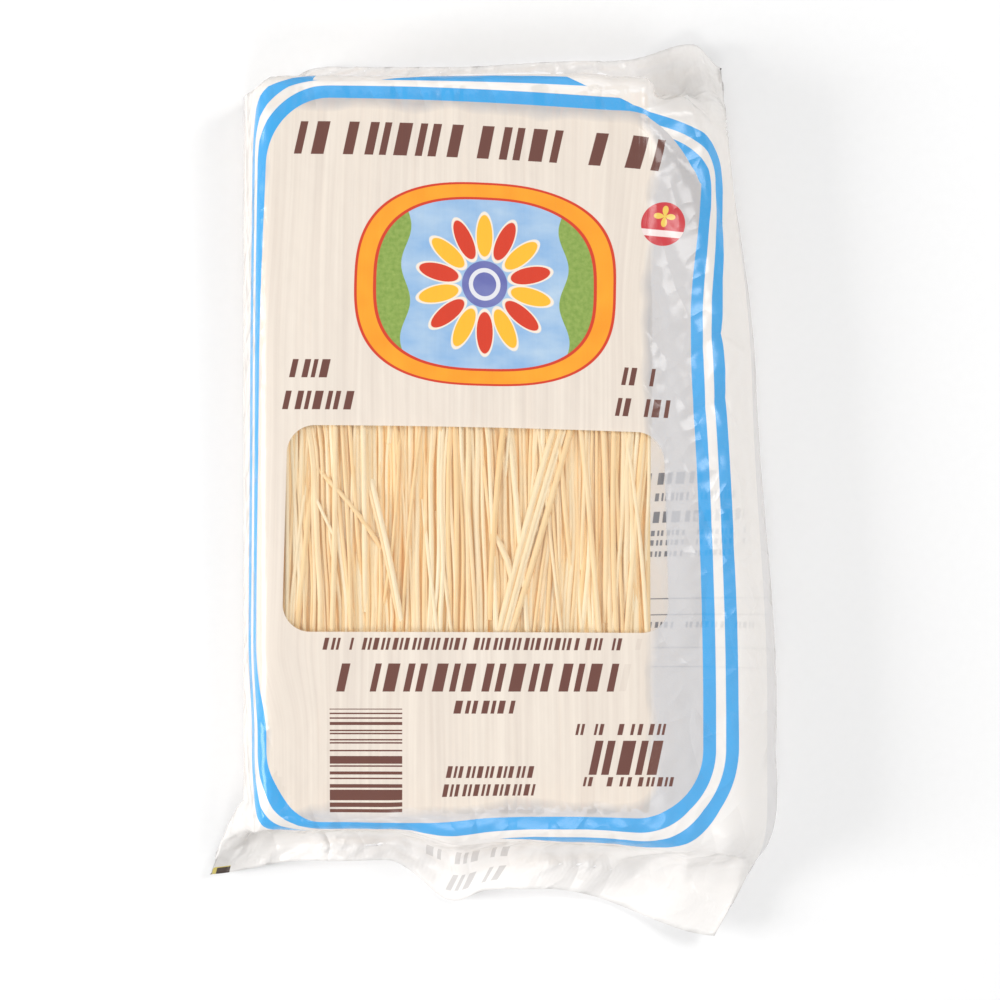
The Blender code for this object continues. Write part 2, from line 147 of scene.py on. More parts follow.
def body_section(y):
    """The film across the bag at y, closed, from the panel's middle round to the right."""
    spread = eased((RIGHT_SPREAD_START - y) / RIGHT_SPREAD_LENGTH)
    reach = RIGHT_REACH_HIGH + (RIGHT_REACH_LOW - RIGHT_REACH_HIGH) * spread
    reach -= RIGHT_TAPER * eased((y - RIGHT_TAPER_START) / RIGHT_TAPER_LENGTH)
    corners = (
        (Vector((BLOCK_RIGHT_TOP, TOP_Z)), RIGHT_TOP_BEND),
        (Vector((reach - RIGHT_SHOULDER_IN, RIGHT_SHOULDER_Z)), SHOULDER_BEND),
        (Vector((reach, RIGHT_NOSE_Z)), NOSE_BEND),
        (Vector((reach - RIGHT_FOOT_IN, 0.0)), RIGHT_FOOT_BEND),
        (Vector((-LEFT_FOOT, 0.0)), LEFT_FOOT_BEND),
        (Vector((-LEFT_REACH, LEFT_BULGE_Z)), LEFT_SIDE_BEND),
        (Vector((-LEFT_TOP, TOP_Z)), LEFT_SIDE_BEND),
    )
    points = [Vector((0.0, TOP_Z))]
    for place, (corner, trim) in enumerate(corners):
        before = corners[place - 1][0]
        after = corners[(place + 1) % len(corners)][0]
        points.extend(bend(before, corner, after, trim))
    points.append(points[0].copy())
    return np.array([tuple(point) for point in points])


def sections(rows, around):
    """Cross-section of the bag at each row, sampled at fractions of the way round."""
    found = np.zeros((len(rows), len(around), 2))
    for place, y in enumerate(rows):
        points = body_section(y)
        lengths = np.concatenate(([0.0], np.cumsum(np.linalg.norm(np.diff(points, axis=0), axis=1))))
        for axis in range(2):
            found[place, :, axis] = np.interp(around * lengths[-1], lengths, points[:, axis])
    return found


def wrapped_film(rows, around):
    """The film wrapped round the block, before it relaxes, and its outline at the seals."""
    section = sections(rows, around)
    turn = 4.0 * around
    front = (turn <= 1.0) | (turn >= 3.0)
    across = np.where(turn <= 1.0, turn, np.where(turn < 3.0, 2.0 - turn, turn - 4.0))
    across = across * FLAT_HALF_WIDTH
    along = rows[:, None] + 0.0 * across[None, :]
    across = across[None, :] + 0.0 * rows[:, None]
    top_end = along > 0.0
    dip = CORNER_DIP * eased((across - CORNER_DIP_START) / CORNER_DIP_WIDTH)
    start = np.where(top_end, TOP_FALL - dip, BOTTOM_FALL)
    body_y = np.clip(along, -start, start)
    film = FLAT_HALF_LENGTH - start
    part = np.clip((np.abs(along) - start) / film, 0.0, 1.0)
    spread = (across / FLAT_HALF_WIDTH + 1.0) / 2.0
    left, right, low_y, low_z = BOTTOM_SEAL
    low_x = left + (right - left) * spread
    low_y = low_y - tipped(low_x, BOTTOM_SEAL_TIP) - stepped(low_x, BOTTOM_SEAL_STEPS)
    wave = np.cos(2.0 * math.pi * (low_x - SEAL_WAVE_CREST) / SEAL_WAVE_LENGTH)
    low_z = low_z + SEAL_WAVE_HEIGHT * wave
    left, right, high_y, high_z = TOP_SEAL
    high_x = left + (right - left) * spread
    high_y = high_y + tipped(high_x, TOP_SEAL_TIP) - stepped(high_x, TOP_SEAL_STEPS)
    high_z = high_z + stepped(high_x, (TOP_SEAL_LIFT,))
    seal_x = np.where(top_end, high_x, low_x)
    seal_y = np.where(top_end, high_y, low_y)
    seal_z = np.where(top_end, high_z, low_z)
    falls = eased((np.arange(FALL_STEPS + 1) / FALL_STEPS - FALL_DELAY) / FALL_SHARE)
    piece = film / FALL_STEPS
    drop = np.abs(section[:, :, 1] - seal_z)
    down = drop[:, :, None] * np.diff(falls)
    step = np.sqrt(np.maximum(piece[:, :, None] ** 2 - down ** 2, (0.2 * piece[:, :, None]) ** 2))
    ways = np.concatenate((np.zeros(step.shape[:2] + (1,)), np.cumsum(step, axis=2)), axis=2)
    spot = part * FALL_STEPS
    place = np.minimum(spot.astype(int), FALL_STEPS - 1)
    rest = spot - place
    way = np.take_along_axis(ways, place[:, :, None], 2)[:, :, 0] * (1.0 - rest)
    way += np.take_along_axis(ways, place[:, :, None] + 1, 2)[:, :, 0] * rest
    way *= np.abs(seal_y - body_y) / ways[:, :, -1]
    fall = falls[place] * (1.0 - rest) + falls[place + 1] * rest
    sideways = part ** (LEFT_FLARE + (RIGHT_FLARE - LEFT_FLARE) * spread)
    points = np.zeros(section.shape[:2] + (3,))
    points[:, :, 0] = section[:, :, 0] + (seal_x - section[:, :, 0]) * sideways
    points[:, :, 1] = body_y + np.where(top_end, 1.0, -1.0) * way
    points[:, :, 2] = section[:, :, 1] + (seal_z - section[:, :, 1]) * fall
    return points, front


# Ties between neighbours on the grid, rows and columns apart, and how they resist shortening
TIES = {(0, 1): 0.9, (1, 0): 0.9, (1, 1): 0.6, (1, -1): 0.6, (0, 2): 0.12, (2, 0): 0.12}
TUCKED = 0.70


class Film:
    """A closed grid of film that keeps its flat lengths and gives way by creasing."""

    def __init__(self, row_count, column_count, points=None):
        self.rows = np.linspace(-FLAT_HALF_LENGTH, FLAT_HALF_LENGTH, row_count)
        self.around = np.arange(column_count) / column_count
        self.target, self.front = wrapped_film(self.rows, self.around)
        self.points = self.target.copy() if points is None else points
        self.row_gap = self.rows[1] - self.rows[0]
        self.column_gap = 4.0 * FLAT_HALF_WIDTH / column_count
        self.mirror = (column_count // 2 - np.arange(column_count)) % column_count
        self.end = FLAT_HALF_LENGTH - np.abs(self.rows)
        steps = np.abs(np.arange(column_count) % (column_count // 2) - column_count // 4)
        self.beside = steps * self.column_gap
        near_fold = eased((0.022 - self.beside) / 0.012)[None, :, None]
        self.firm = FOLD_HOLD * near_fold * eased((0.060 - self.end) / 0.020)[:, None, None]
        near = np.flatnonzero((self.end >= SEAL_BAND) & (self.end < 3.0 * SEAL_BAND))
        below, above = near[near < row_count // 2], near[near > row_count // 2]
        self.seal_edges = ((below[0] - 1, below), (above[-1] + 1, above))
        self.rests = {tie: self.rest_length(*tie) for tie in TIES}

    def rest_length(self, row_step, column_step):
        """Lengths of the ties in one direction: flat film, less what is tucked out of sight."""
        flat = math.hypot(row_step * self.row_gap, column_step * self.column_gap)
        count = len(self.rows) - row_step
        there = np.roll(self.target, -column_step, axis=1)[row_step:]
        wrapped = np.linalg.norm(there - self.target[:count], axis=2, keepdims=True)
        return flat + (wrapped - flat) * TUCKED

    def keep_lengths(self, tie, give):
        """How each point should move so that its ties in one direction keep their length."""
        row_step, column_step = tie
        rest = self.rests[tie]
        count = len(self.rows) - row_step
        here = self.points[:count]
        there = np.roll(self.points, -column_step, axis=1)[row_step:]
        apart = there - here
        length = np.linalg.norm(apart, axis=2, keepdims=True) + 1e-9
        stretch = (length - rest) / length
        move = 0.5 * apart * np.where(stretch > 0.0, stretch, give * stretch)
        moves = np.zeros_like(self.points)
        moves[:count] += move
        moves[row_step:] -= np.roll(move, column_step, axis=1)
        return moves

    def relax(self, rounds, hold_start, hold_end):
        """Let the film find its creases, loosely held to the wrapped form."""
        at_end = self.end[:, None, None] < 1e-6
        for turn in range(rounds):
            part = turn / rounds
            hold = hold_start + (hold_end - hold_start) * part
            moves = sum(self.keep_lengths(tie, give) for tie, give in TIES.items())
            self.points += moves * (1.5 / (2 * len(TIES)))
            self.points += (self.target - self.points) * np.where(at_end, 0.08, hold + self.firm)
            self.stay_outside_block()
            self.close_seals()
            self.points[:, :, 2] = np.maximum(self.points[:, :, 2], FILM_FLOOR)

    def stay_outside_block(self):
        """Push film that is inside the block out of its nearest face."""
        left, right, bottom, top, floor, height = BLOCK
        low = np.array((left, bottom, floor)) + BLOCK_ROUNDING
        high = np.array((right, top, height)) - BLOCK_ROUNDING
        nearest = np.clip(self.points, low, high)
        out = self.points - nearest
        inside = np.all(np.abs(out) < 1e-9, axis=2)
        lift = np.zeros_like(out)
        lift[:, :, 2] = np.where(self.points[:, :, 2] > height / 2.0, 1.0, -1.0)
        out = np.where(inside[:, :, None], lift * BLOCK_ROUNDING, out)
        distance = np.linalg.norm(out, axis=2, keepdims=True) + 1e-9
        pushed = nearest + out / distance * BLOCK_ROUNDING
        self.points = np.where(distance < BLOCK_ROUNDING, pushed, self.points)

    def close_seals(self):
        """Keep the front over the back, and pressed to it along both seals."""
        other = self.points[:, self.mirror]
        middle = (self.points + other) / 2.0
        side = np.where(self.front, 0.5, -0.5)[None, :]
        apart = middle.copy()
        sealed = (self.end < SEAL_BAND)[:, None, None]
        wanted = SEAL_GAP + LOOSE_GAP * eased((self.end - SEAL_BAND) / 0.008)[:, None]
        crossed = ((self.points[:, :, 2] - other[:, :, 2]) * side * 2.0 < wanted)[:, :, None]
        near = ((self.end < 4.0 * SEAL_BAND)[:, None] & (self.beside > 0.004)[None, :])[:, :, None]
        apart[:, :, 2] += side * wanted
        self.points = np.where(sealed | (crossed & near), apart, self.points)
        under = eased((self.end - SEAL_BAND) / 0.008)[:, None] * eased(self.beside / 0.015)[None, :]
        under = (1.0 - BACK_DROP * under) * self.points[:, self.mirror, 2]
        lowered = np.minimum(self.points[:, :, 2], under)
        kept = self.front[None, :] | (self.end > 4.5 * SEAL_BAND)[:, None]
        self.points[:, :, 2] = np.where(kept, self.points[:, :, 2], lowered)
        firm = eased(self.beside / 0.015)[None, :]
        for edge, rows in self.seal_edges:
            z = self.points[rows, :, 2]
            level = self.points[edge, :, 2][None, :]
            room = SEAL_GAP + 0.4 * LOOSE_GAP * eased((self.end[rows] - SEAL_BAND) / 0.012)[:, None]
            apart = np.where(self.front[None, :], np.maximum(z, level + room), np.minimum(z, level - room))
            fade = firm * eased((3.0 * SEAL_BAND - self.end[rows]) / 0.008)[:, None]
            self.points[rows, :, 2] = z + (apart - z) * fade


def relaxed_film():
    """The film of the bag, relaxed on a coarse grid and then on one twice as fine."""
    chance = np.random.default_rng(FILM_SEED)
    film = Film(ROWS, COLUMNS)
    film.points += chance.normal(0.0, 0.0003, film.points.shape)
    film.relax(COARSE_ROUNDS, 0.030, 0.006)
    fine_rows = 2 * ROWS - 1
    finer = np.zeros((fine_rows, 2 * COLUMNS, 3))
    half = (film.points + np.roll(film.points, -1, axis=1)) / 2.0
    finer[::2, ::2] = film.points
    finer[::2, 1::2] = half
    finer[1::2] = (finer[:-2:2] + finer[2::2]) / 2.0
    film = Film(fine_rows, 2 * COLUMNS, finer)
    film.relax(FINE_ROUNDS, 0.006, 0.003)
    creased(film)
    film.stay_outside_block()
    film.close_seals()
    film.points[:, :, 2] = np.maximum(film.points[:, :, 2], FILM_FLOOR)
    return film


# Creases of the film, on the flat film: from, to, depth (less than 0 for a ridge) and half width
CREASES = (
    (0.0600, 0.0950, 0.0640, -0.0200, 0.0007, 0.0050),
    (0.0620, -0.0100, 0.0610, -0.0900, 0.0005, 0.0050),
    (0.0800, 0.0420, 0.0930, 0.0350, 0.0015, 0.0025),
    (0.0930, 0.0350, 0.0830, 0.0270, -0.0011, 0.0025),
    (0.0700, 0.0290, 0.0850, 0.0450, 0.0009, 0.0025),
    (0.0690, 0.0130, 0.0880, 0.0210, 0.0009, 0.0030),
    (0.0400, 0.1210, 0.0600, 0.1090, 0.0012, 0.0030),
    (0.0580, 0.1100, 0.0780, 0.0890, 0.0015, 0.0030),
    (0.0640, 0.1400, 0.0800, 0.1050, -0.0014, 0.0028),
    (0.0560, 0.1290, 0.0850, 0.1180, 0.0011, 0.0030),
    (0.0740, 0.1480, 0.0880, 0.1080, 0.0013, 0.0030),
    (0.0850, 0.0980, 0.0900, 0.0650, 0.0010, 0.0040),
    (0.0800, 0.1150, 0.0830, 0.0700, -0.0009, 0.0030),
    (0.0250, -0.1330, 0.0690, -0.1270, -0.0012, 0.0028),
    (0.0230, -0.1380, 0.0660, -0.1310, 0.0013, 0.0030),
    (0.0690, -0.1270, 0.0430, -0.1570, -0.0017, 0.0032),
    (0.0750, -0.1290, 0.0540, -0.1590, 0.0017, 0.0038),
    (0.0690, -0.1270, 0.0790, -0.1500, -0.0011, 0.0028),
    (0.0730, -0.1250, 0.0920, -0.1360, 0.0012, 0.0035),
    (0.0840, -0.1180, 0.0900, -0.1450, 0.0011, 0.0035),
    (-0.0300, -0.1290, 0.0150, -0.1320, 0.0009, 0.0030),
    (-0.0700, -0.1330, -0.0250, -0.1280, 0.0010, 0.0035),
    (-0.0900, -0.1520, -0.0640, -0.1250, 0.0014, 0.0035),
    (-0.0700, -0.1260, -0.0500, -0.1560, -0.0010, 0.0035),
    (0.0000, -0.1280, -0.0120, -0.1570, 0.0010, 0.0035),
)
CREASE_COUNT = 90
CREASE_SEED = 5


def creased(film):
    """Press the named creases and many slight ones into the relaxed film, along its normals."""
    chance = random.Random(CREASE_SEED)
    creases = list(CREASES)
    for number in range(CREASE_COUNT):
        side = chance.random()
        if side < 0.45:
            across, along = chance.uniform(0.064, 0.120), chance.uniform(-0.140, 0.140)
            heading, length = chance.gauss(math.pi / 2.0, 0.5), chance.uniform(0.010, 0.040)
        elif side < 0.85:
            across, along = chance.uniform(-0.095, 0.095), chance.choice((-1, 1))
            along *= chance.uniform(0.122, 0.158)
            heading, length = chance.uniform(0.0, math.pi), chance.uniform(0.010, 0.035)
        else:
            across, along = chance.uniform(0.100, 0.290), chance.uniform(-0.150, 0.150)
            heading, length = chance.uniform(0.0, math.pi), chance.uniform(0.020, 0.060)
        reach = (math.cos(heading) * length, math.sin(heading) * length)
        deep = chance.uniform(0.0002, 0.0007) * chance.choice((-0.5, 1.0))
        width = chance.uniform(0.0018, 0.0045)
        creases.append((across, along, across + reach[0], along + reach[1], deep, width))
    columns = np.arange(film.points.shape[1])
    quarter = len(columns) // 4
    across = np.where(columns < 3 * quarter, columns, columns - len(columns)) * film.column_gap
    around = np.roll(film.points, -1, axis=1) - np.roll(film.points, 1, axis=1)
    upwards = np.gradient(film.points, axis=0)
    normal = np.cross(around, upwards)
    normal /= np.linalg.norm(normal, axis=2, keepdims=True) + 1e-12
    depth = np.zeros(film.points.shape[:2])
    for start_x, start_y, end_x, end_y, deep, width in creases:
        run = np.array((end_x - start_x, end_y - start_y))
        length = np.linalg.norm(run)
        run = run / length
        x = across[None, :] - start_x
        y = film.rows[:, None] - start_y
        beside = np.abs(x * run[1] - y * run[0])
        part = np.clip((x * run[0] + y * run[1]) / length, 0.0, 1.0)
        past = np.hypot(x - part * length * run[0], y - part * length * run[1])
        fade = np.sin(math.pi * np.clip(part, 0.04, 0.96)) ** 0.6
        depth += deep * fade * np.exp(-past / width) * (1.0 - 0.25 * beside / (beside + width))
    depth *= eased(film.beside / 0.006)[None, :]
    pressed = normal * depth[:, :, None]
    at_end = eased((0.035 - film.end) / 0.012)[:, None, None] * ~film.front[None, :, None]
    film.points -= pressed + (pressed[:, film.mirror] - pressed) * at_end


# The print's middle, seen from the middle of the bag's extent
MIDDLE = Vector((0.0052, -0.0109, 0.0))

# How far the slack has pulled the print, metres: its right side down, its lower left edge down,
# its right stripes in beside the emblem's foot, its lower left corner in, its top right corner out
PRINT_DROOP = 0.0054
PRINT_SAG = 0.0035
PRINT_BOW = 0.0012
PRINT_PULL = 0.0055
PRINT_DRAW = 0.0075


def printed_at(across, along):
    """Where a point of the flat film reads the print, which the slack has pulled askew."""
    droop = np.clip((along + 0.070) / 0.165, 0.0, 1.0) * ((np.maximum(across, -0.065) + 0.065) / 0.125) ** 2
    sag = eased((0.005 - across) / 0.035) * eased((-0.104 - along) / 0.016)
    bow = eased((across - 0.050) / 0.020) * np.exp(-(((along - 0.033) / 0.025) ** 2))
    pulled = eased((-0.060 - along) / 0.030) * eased((-0.044 - across) / 0.016)
    drawn = eased((across - 0.020) / 0.050) * eased((along - 0.045) / 0.060)
    across = across + PRINT_BOW * bow - PRINT_PULL * pulled - PRINT_DRAW * drawn
    return across, along + PRINT_DROOP * droop + PRINT_SAG * sag


def film_mesh(film):
    """The relaxed film as one closed mesh, with its print's layout as a UV map in metres."""
    row_count, column_count = film.points.shape[:2]
    gap = film.column_gap
    quarter = column_count // 4
    columns = np.arange(column_count)
    here = np.arange(row_count * column_count).reshape(row_count, column_count)
    following = np.roll(here, -1, axis=1)
    walls = np.stack((here[:-1], following[:-1], following[1:], here[1:]), axis=-1).reshape(-1, 4)
    faces = [tuple(face) for face in walls]
    ends = []
    for row in (0, row_count - 1):
        for column in range(-quarter, quarter):
            quad = (here[row, column], here[row, column + 1],
                    here[row, film.mirror[column + 1]], here[row, film.mirror[column]])
            ends.append((row, column, tuple(dict.fromkeys(quad))))
    mesh = bpy.data.meshes.new("bag_film")
    shift = np.array(MIDDLE)
    mesh.from_pydata((film.points - shift).reshape(-1, 3).tolist(), [],
                     faces + [corners for row, column, corners in ends])
    starts = np.where(columns < 3 * quarter, columns, columns - column_count) * gap
    across = np.stack((starts, starts + gap, starts + gap, starts), axis=-1)[None]
    across = across + 0.0 * film.rows[:-1, None, None]
    low, high = film.rows[:-1, None], film.rows[1:, None]
    along = np.stack((low, low, high, high), axis=-1) + 0.0 * columns[None, :, None]
    across, along = printed_at(across, along)
    spots = [np.stack((across, along), axis=-1).reshape(-1, 2)]
    for row, column, corners in ends:
        spots.append(np.tile((column * gap, film.rows[row]), (len(corners), 1)))
    layout = mesh.uv_layers.new(name="flat")
    layout.data.foreach_set("uv", np.concatenate(spots).ravel())
    centres = spots[0].reshape(-1, 4, 2).mean(axis=1)
    region = np.full(len(centres), -1)
    for place, (name, box, corner, parts) in enumerate(PRINT_REGIONS):
        low, high = np.array(box[::2]) + corner, np.array(box[1::2]) - corner
        held = np.linalg.norm(centres - np.clip(centres, low, high), axis=1) <= corner
        region = np.where(held & (region < 0), place, region)
    is_back = np.tile((columns >= quarter) & (columns < 3 * quarter), row_count - 1)
    region = np.where(is_back, len(PRINT_REGIONS), region)
    region = np.concatenate((region, np.full(len(ends), len(PRINT_REGIONS) - 1)))
    mesh.polygons.foreach_set("material_index", region.astype(np.int32))
    mesh.polygons.foreach_set("use_smooth", [True] * len(mesh.polygons))
    mesh.update()
    shape = bmesh.new()
    shape.from_mesh(mesh)
    bmesh.ops.recalc_face_normals(shape, faces=shape.faces[:])
    shape.to_mesh(mesh)
    shape.free()
    return mesh


class Value:
    """A number, colour or vector in a node tree that ordinary maths can be written on."""

    def __init__(self, tree, socket):
        self.tree = tree
        self.socket = socket

    def maths(self, operation, *values, clamp=False):
        settings = {"operation": operation, "use_clamp": clamp}
        return self.tree.node("ShaderNodeMath", settings, dict(enumerate(values)))

    def __add__(self, other):
        return self.maths("ADD", self, other)

    def __radd__(self, other):
        return self.maths("ADD", other, self)

    def __sub__(self, other):
        return self.maths("SUBTRACT", self, other)

    def __rsub__(self, other):
        return self.maths("SUBTRACT", other, self)

    def __mul__(self, other):
        return self.maths("MULTIPLY", self, other)

    def __rmul__(self, other):
        return self.maths("MULTIPLY", other, self)

    def __truediv__(self, other):
        return self.maths("DIVIDE", self, other)

    def __rtruediv__(self, other):
        return self.maths("DIVIDE", other, self)

    def __abs__(self):
        return self.maths("ABSOLUTE", self)

    def __gt__(self, other):
        return self.maths("GREATER_THAN", self, other)

    def __lt__(self, other):
        return self.maths("LESS_THAN", self, other)

    def __pow__(self, other):
        return self.maths("POWER", self, other)

    def floor(self):
        return self.maths("FLOOR", self)

    def fraction(self):
        return self.maths("FRACT", self)

    def sine(self):
        return self.maths("SINE", self)

    def cosine(self):
        return self.maths("COSINE", self)

    def clamped(self):
        return self.maths("ADD", self, 0.0, clamp=True)

    def at_least(self, other):
        return self.maths("MAXIMUM", self, other)

    def at_most(self, other):
        return self.maths("MINIMUM", self, other)


class Tree:
    """A node tree under construction: node() adds any node, the rest are shorthands for it."""

    def __init__(self, tree):
        self.tree = tree

    def node(self, kind, settings=(), inputs=(), outlet=0):
        made = self.tree.nodes.new(kind)
        for name, setting in dict(settings).items():
            if name == "stops":
                while len(made.color_ramp.elements) < len(setting):
                    made.color_ramp.elements.new(1.0)
                for element, (place, colour) in zip(made.color_ramp.elements, setting):
                    element.position = place
                    element.color = colour
            else:
                setattr(made, name, setting)
        for place, value in dict(inputs).items():
            if isinstance(value, Value):
                self.tree.links.new(value.socket, made.inputs[place])
            else:
                made.inputs[place].default_value = value
        return Value(self, made.outputs[outlet])

    def vector(self, operation, *values, outlet=0):
        return self.node("ShaderNodeVectorMath", {"operation": operation}, dict(enumerate(values)), outlet)

    def scaled(self, vector, factor):
        return self.node("ShaderNodeVectorMath", {"operation": "SCALE"}, {0: vector, 3: factor})

    def joined(self, x, y, z=0.0):
        return self.node("ShaderNodeCombineXYZ", (), {0: x, 1: y, 2: z})

    def split(self, vector):
        apart = self.node("ShaderNodeSeparateXYZ", (), {0: vector})
        return [Value(self, outlet) for outlet in apart.socket.node.outputs]

    def blend(self, factor, first, second):
        """A colour between two colours."""
        return self.node("ShaderNodeMix", {"data_type": "RGBA"}, {0: factor, 6: first, 7: second}, 2)

    def noise(self, vector, scale=1.0, detail=2.0, roughness=0.5):
        inputs = {"Vector": vector, "Scale": scale, "Detail": detail, "Roughness": roughness}
        return self.node("ShaderNodeTexNoise", (), inputs)

    def chance(self, number):
        """An even random number from 0 to 1 for each whole number."""
        return self.node("ShaderNodeTexWhiteNoise", {"noise_dimensions": "1D"}, {"W": number})


def finish_tree(name, **constants):
    """A material with one Principled shader: its tree and a way to link what varies."""
    material = bpy.data.materials.new(name)
    material.use_nodes = True
    shader = material.node_tree.nodes["Principled BSDF"]
    for socket, value in constants.items():
        shader.inputs[socket.replace("_", " ")].default_value = value
    tree = Tree(material.node_tree)

    def link(**varying):
        for socket, value in varying.items():
            material.node_tree.links.new(value.socket, shader.inputs[socket.replace("_", " ")])

    return material, tree, link


def tint(red, green, blue):
    """A colour given as on a screen, 0 to 255, as the shader needs it."""
    linear = [(part / 255.0 + 0.055) / 1.055 for part in (red, green, blue)]
    return tuple(part ** 2.4 for part in linear) + (1.0,)


BLACK = (0.0, 0.0, 0.0, 1.0)
PRINT_EDGE = 0.00014
FILM_ROUGHNESS = 0.20
EMPTY_ALPHA = 0.76
BACKED_ALPHA = 0.94
STRIPE_ALPHA = 0.93
INK_ALPHA = 0.98
CLEAR_ALPHA = 0.10
# Strength of the back film's painted glow, which stands in for light passing through the film into the bag.
THROUGH_LIGHT = 0.40
# Painted shade: film with nothing behind it is greyer, as the dim inside of the bag shows through.
EMPTY_PAINTED_GREY = tint(207, 207, 210)
BACK_WHITE = tint(236, 235, 236)
MARGIN_WHITE = tint(252, 249, 246)
# Painted show-through: cream film in two tones, as streaks of the noodles behind it.
BACKED_PAINTED_CREAM = tint(244, 233, 220)
BACKED_PAINTED_STREAK = tint(230, 218, 206)
STRIPE_BLUE = tint(64, 171, 236)
INK_BROWN = tint(112, 72, 64)
STAMP_GREY = tint(165, 160, 160)
BACK_GREY = tint(120, 124, 135)


def cover(distance):
    """1 within a printed shape, 0 outside, for a distance to its edge that is less than 0 within."""
    return (distance * (-1.0 / PRINT_EDGE) + 0.5).clamped()


def rounded(tree, point, box, corner):
    """Distance to the edge of a box (left, right, bottom, top) with round corners."""
    left, right, bottom, top = box
    middle = ((left + right) / 2.0, (bottom + top) / 2.0, 0.0)
    half = ((right - left) / 2.0 - corner, (top - bottom) / 2.0 - corner, 1.0)
    away = tree.vector("ABSOLUTE", tree.vector("SUBTRACT", point, middle))
    away = tree.vector("MAXIMUM", tree.vector("SUBTRACT", away, half), (0.0, 0.0, 0.0))
    return tree.vector("LENGTH", away, outlet=1) - corner


def nearest(distances):
    """The smallest of several distances."""
    least = distances[0]
    for distance in distances[1:]:
        least = least.at_most(distance)
    return least


SLANT = 0.21


def rows_of_blocks(tree, across, along, boxes, pitch, gap, seed, missing):
    """Slanted blocks of uneven width in boxes, here and there with one left out, as print has."""
    run = (across - along * SLANT) / pitch + seed * 7.3
    run = run + (run * 2.4).sine() * 0.16
    cell = run.floor()
    inset = (0.5 - abs(run.fraction() - 0.5)) * pitch - gap / 2.0
    block = cover(inset * -1.0) * (tree.chance(cell + seed) > missing)
    place = tree.joined((cell + (0.5 - seed * 7.3)) * pitch, along)
    skewed = []
    for left, right, bottom, top in boxes:
        lean = SLANT * (bottom + top) / 2.0
        skewed.append(rounded(tree, place, (left - lean, right - lean, bottom, top), 0.0002))
    return cover(nearest(skewed)) * block


TITLE_BOXES = ((-0.0602, 0.0610, 0.0978, 0.1084),)
MIDDLE_BOXES = ((-0.0431, 0.0480, -0.0757, -0.0666), (0.0330, 0.0619, -0.1025, -0.0915))
LABEL_BOXES = ((-0.0618, -0.0489, 0.0257, 0.0316), (-0.0680, -0.0415, 0.0154, 0.0214),
               (0.0480, 0.0600, 0.0257, 0.0316), (0.0440, 0.0690, 0.0154, 0.0214),
               (-0.0060, 0.0115, -0.0828, -0.0786))
SMALL_BOXES = ((-0.0483, 0.0519, -0.0622, -0.0582), (-0.0118, 0.0176, -0.1035, -0.0997),
               (-0.0134, 0.0199, -0.1092, -0.1055), (0.0318, 0.0619, -0.0897, -0.0861),
               (0.0312, 0.0638, -0.1062, -0.1032))
BAR_CODE = (-0.0473, -0.0237, -0.1125, -0.0812)
BAR_MODULE = 0.00050
STAMP_BOXES = ((-0.0150, 0.0165, -0.1495, -0.1450), (-0.0130, 0.0173, -0.1568, -0.1523))
WINDOW = (-0.0623, 0.0619, -0.0564, 0.0103)
WINDOW_CORNER = 0.0090
STRIPE_BOX = (-0.0727, 0.0727, -0.1160, 0.1160)
STRIPE_CORNER = 0.0215
STRIPE_WIDTH = 0.00425
OUTER_STRIPE_START = 0.00750
EMBLEM = (0.00275, 0.0569, 0.0438, 0.0331)
BADGE = (0.0604, 0.0803, 0.0074)


def emblem(tree, flat, across, along, colour, alpha):
    """A framed field with a rosette of grains between two green banks."""
    middle_x, middle_y, half_x, half_y = EMBLEM
    x = across - middle_x
    y = along - middle_y
    wide = abs(x / half_x) ** 2.7
    high = abs(y / half_y) ** 2.7
    edge = ((wide + high) ** (1.0 / 2.7) - 1.0) * half_y
    red = tint(214, 66, 44)
    spot = tree.joined(x, y)
    ring = tree.blend(tree.noise(spot, 90.0, 1.0), tint(246, 146, 40), tint(252, 178, 52))
    cloud = tree.noise(tree.joined(x, y * 2.0), 60.0, 3.0)
    sky = tree.blend(cloud, tint(96, 160, 220), tint(206, 224, 236))
    leaf = tree.blend(tree.noise(spot, 700.0, 2.0), tint(110, 146, 60), tint(166, 188, 102))
    bank = cover(0.0265 + (y * 260.0).sine() * 0.0016 - abs(x))
    field = tree.blend(bank, sky, leaf)
    spread = tree.vector("LENGTH", spot, outlet=1)
    count = 14.0
    turn = y.maths("ARCTAN2", y, x) * (count / (2.0 * math.pi))
    side = (turn.fraction() - 0.5) * spread * (2.0 * math.pi / count)
    petal = tree.vector("LENGTH", tree.joined(side / 0.0027, (spread - 0.0158) / 0.0068), outlet=1) - 1.0
    odd = (turn.floor() * 0.5).fraction() > 0.25
    grain = tree.blend(odd, tint(216, 66, 44), tint(252, 190, 56))
    field = tree.blend(cover((petal - 0.16) * 0.0027), field, tint(246, 234, 218))
    field = tree.blend(cover(petal * 0.0027), field, grain)
    disc = tree.blend(cloud, tint(74, 78, 158), tint(140, 146, 198))
    field = tree.blend(cover(spread - 0.0076), field, disc)
    field = tree.blend(cover(abs(spread - 0.0046) - 0.0007), field, tint(230, 230, 236))
    inner = tree.blend(cover(edge + 0.0056), red, field)
    framed = tree.blend(cover(edge + 0.0048), ring, inner)
    framed = tree.blend(cover(edge + 0.0007), red, framed)
    mask = cover(edge)
    return tree.blend(mask, colour, framed), alpha.at_least(mask * INK_ALPHA)


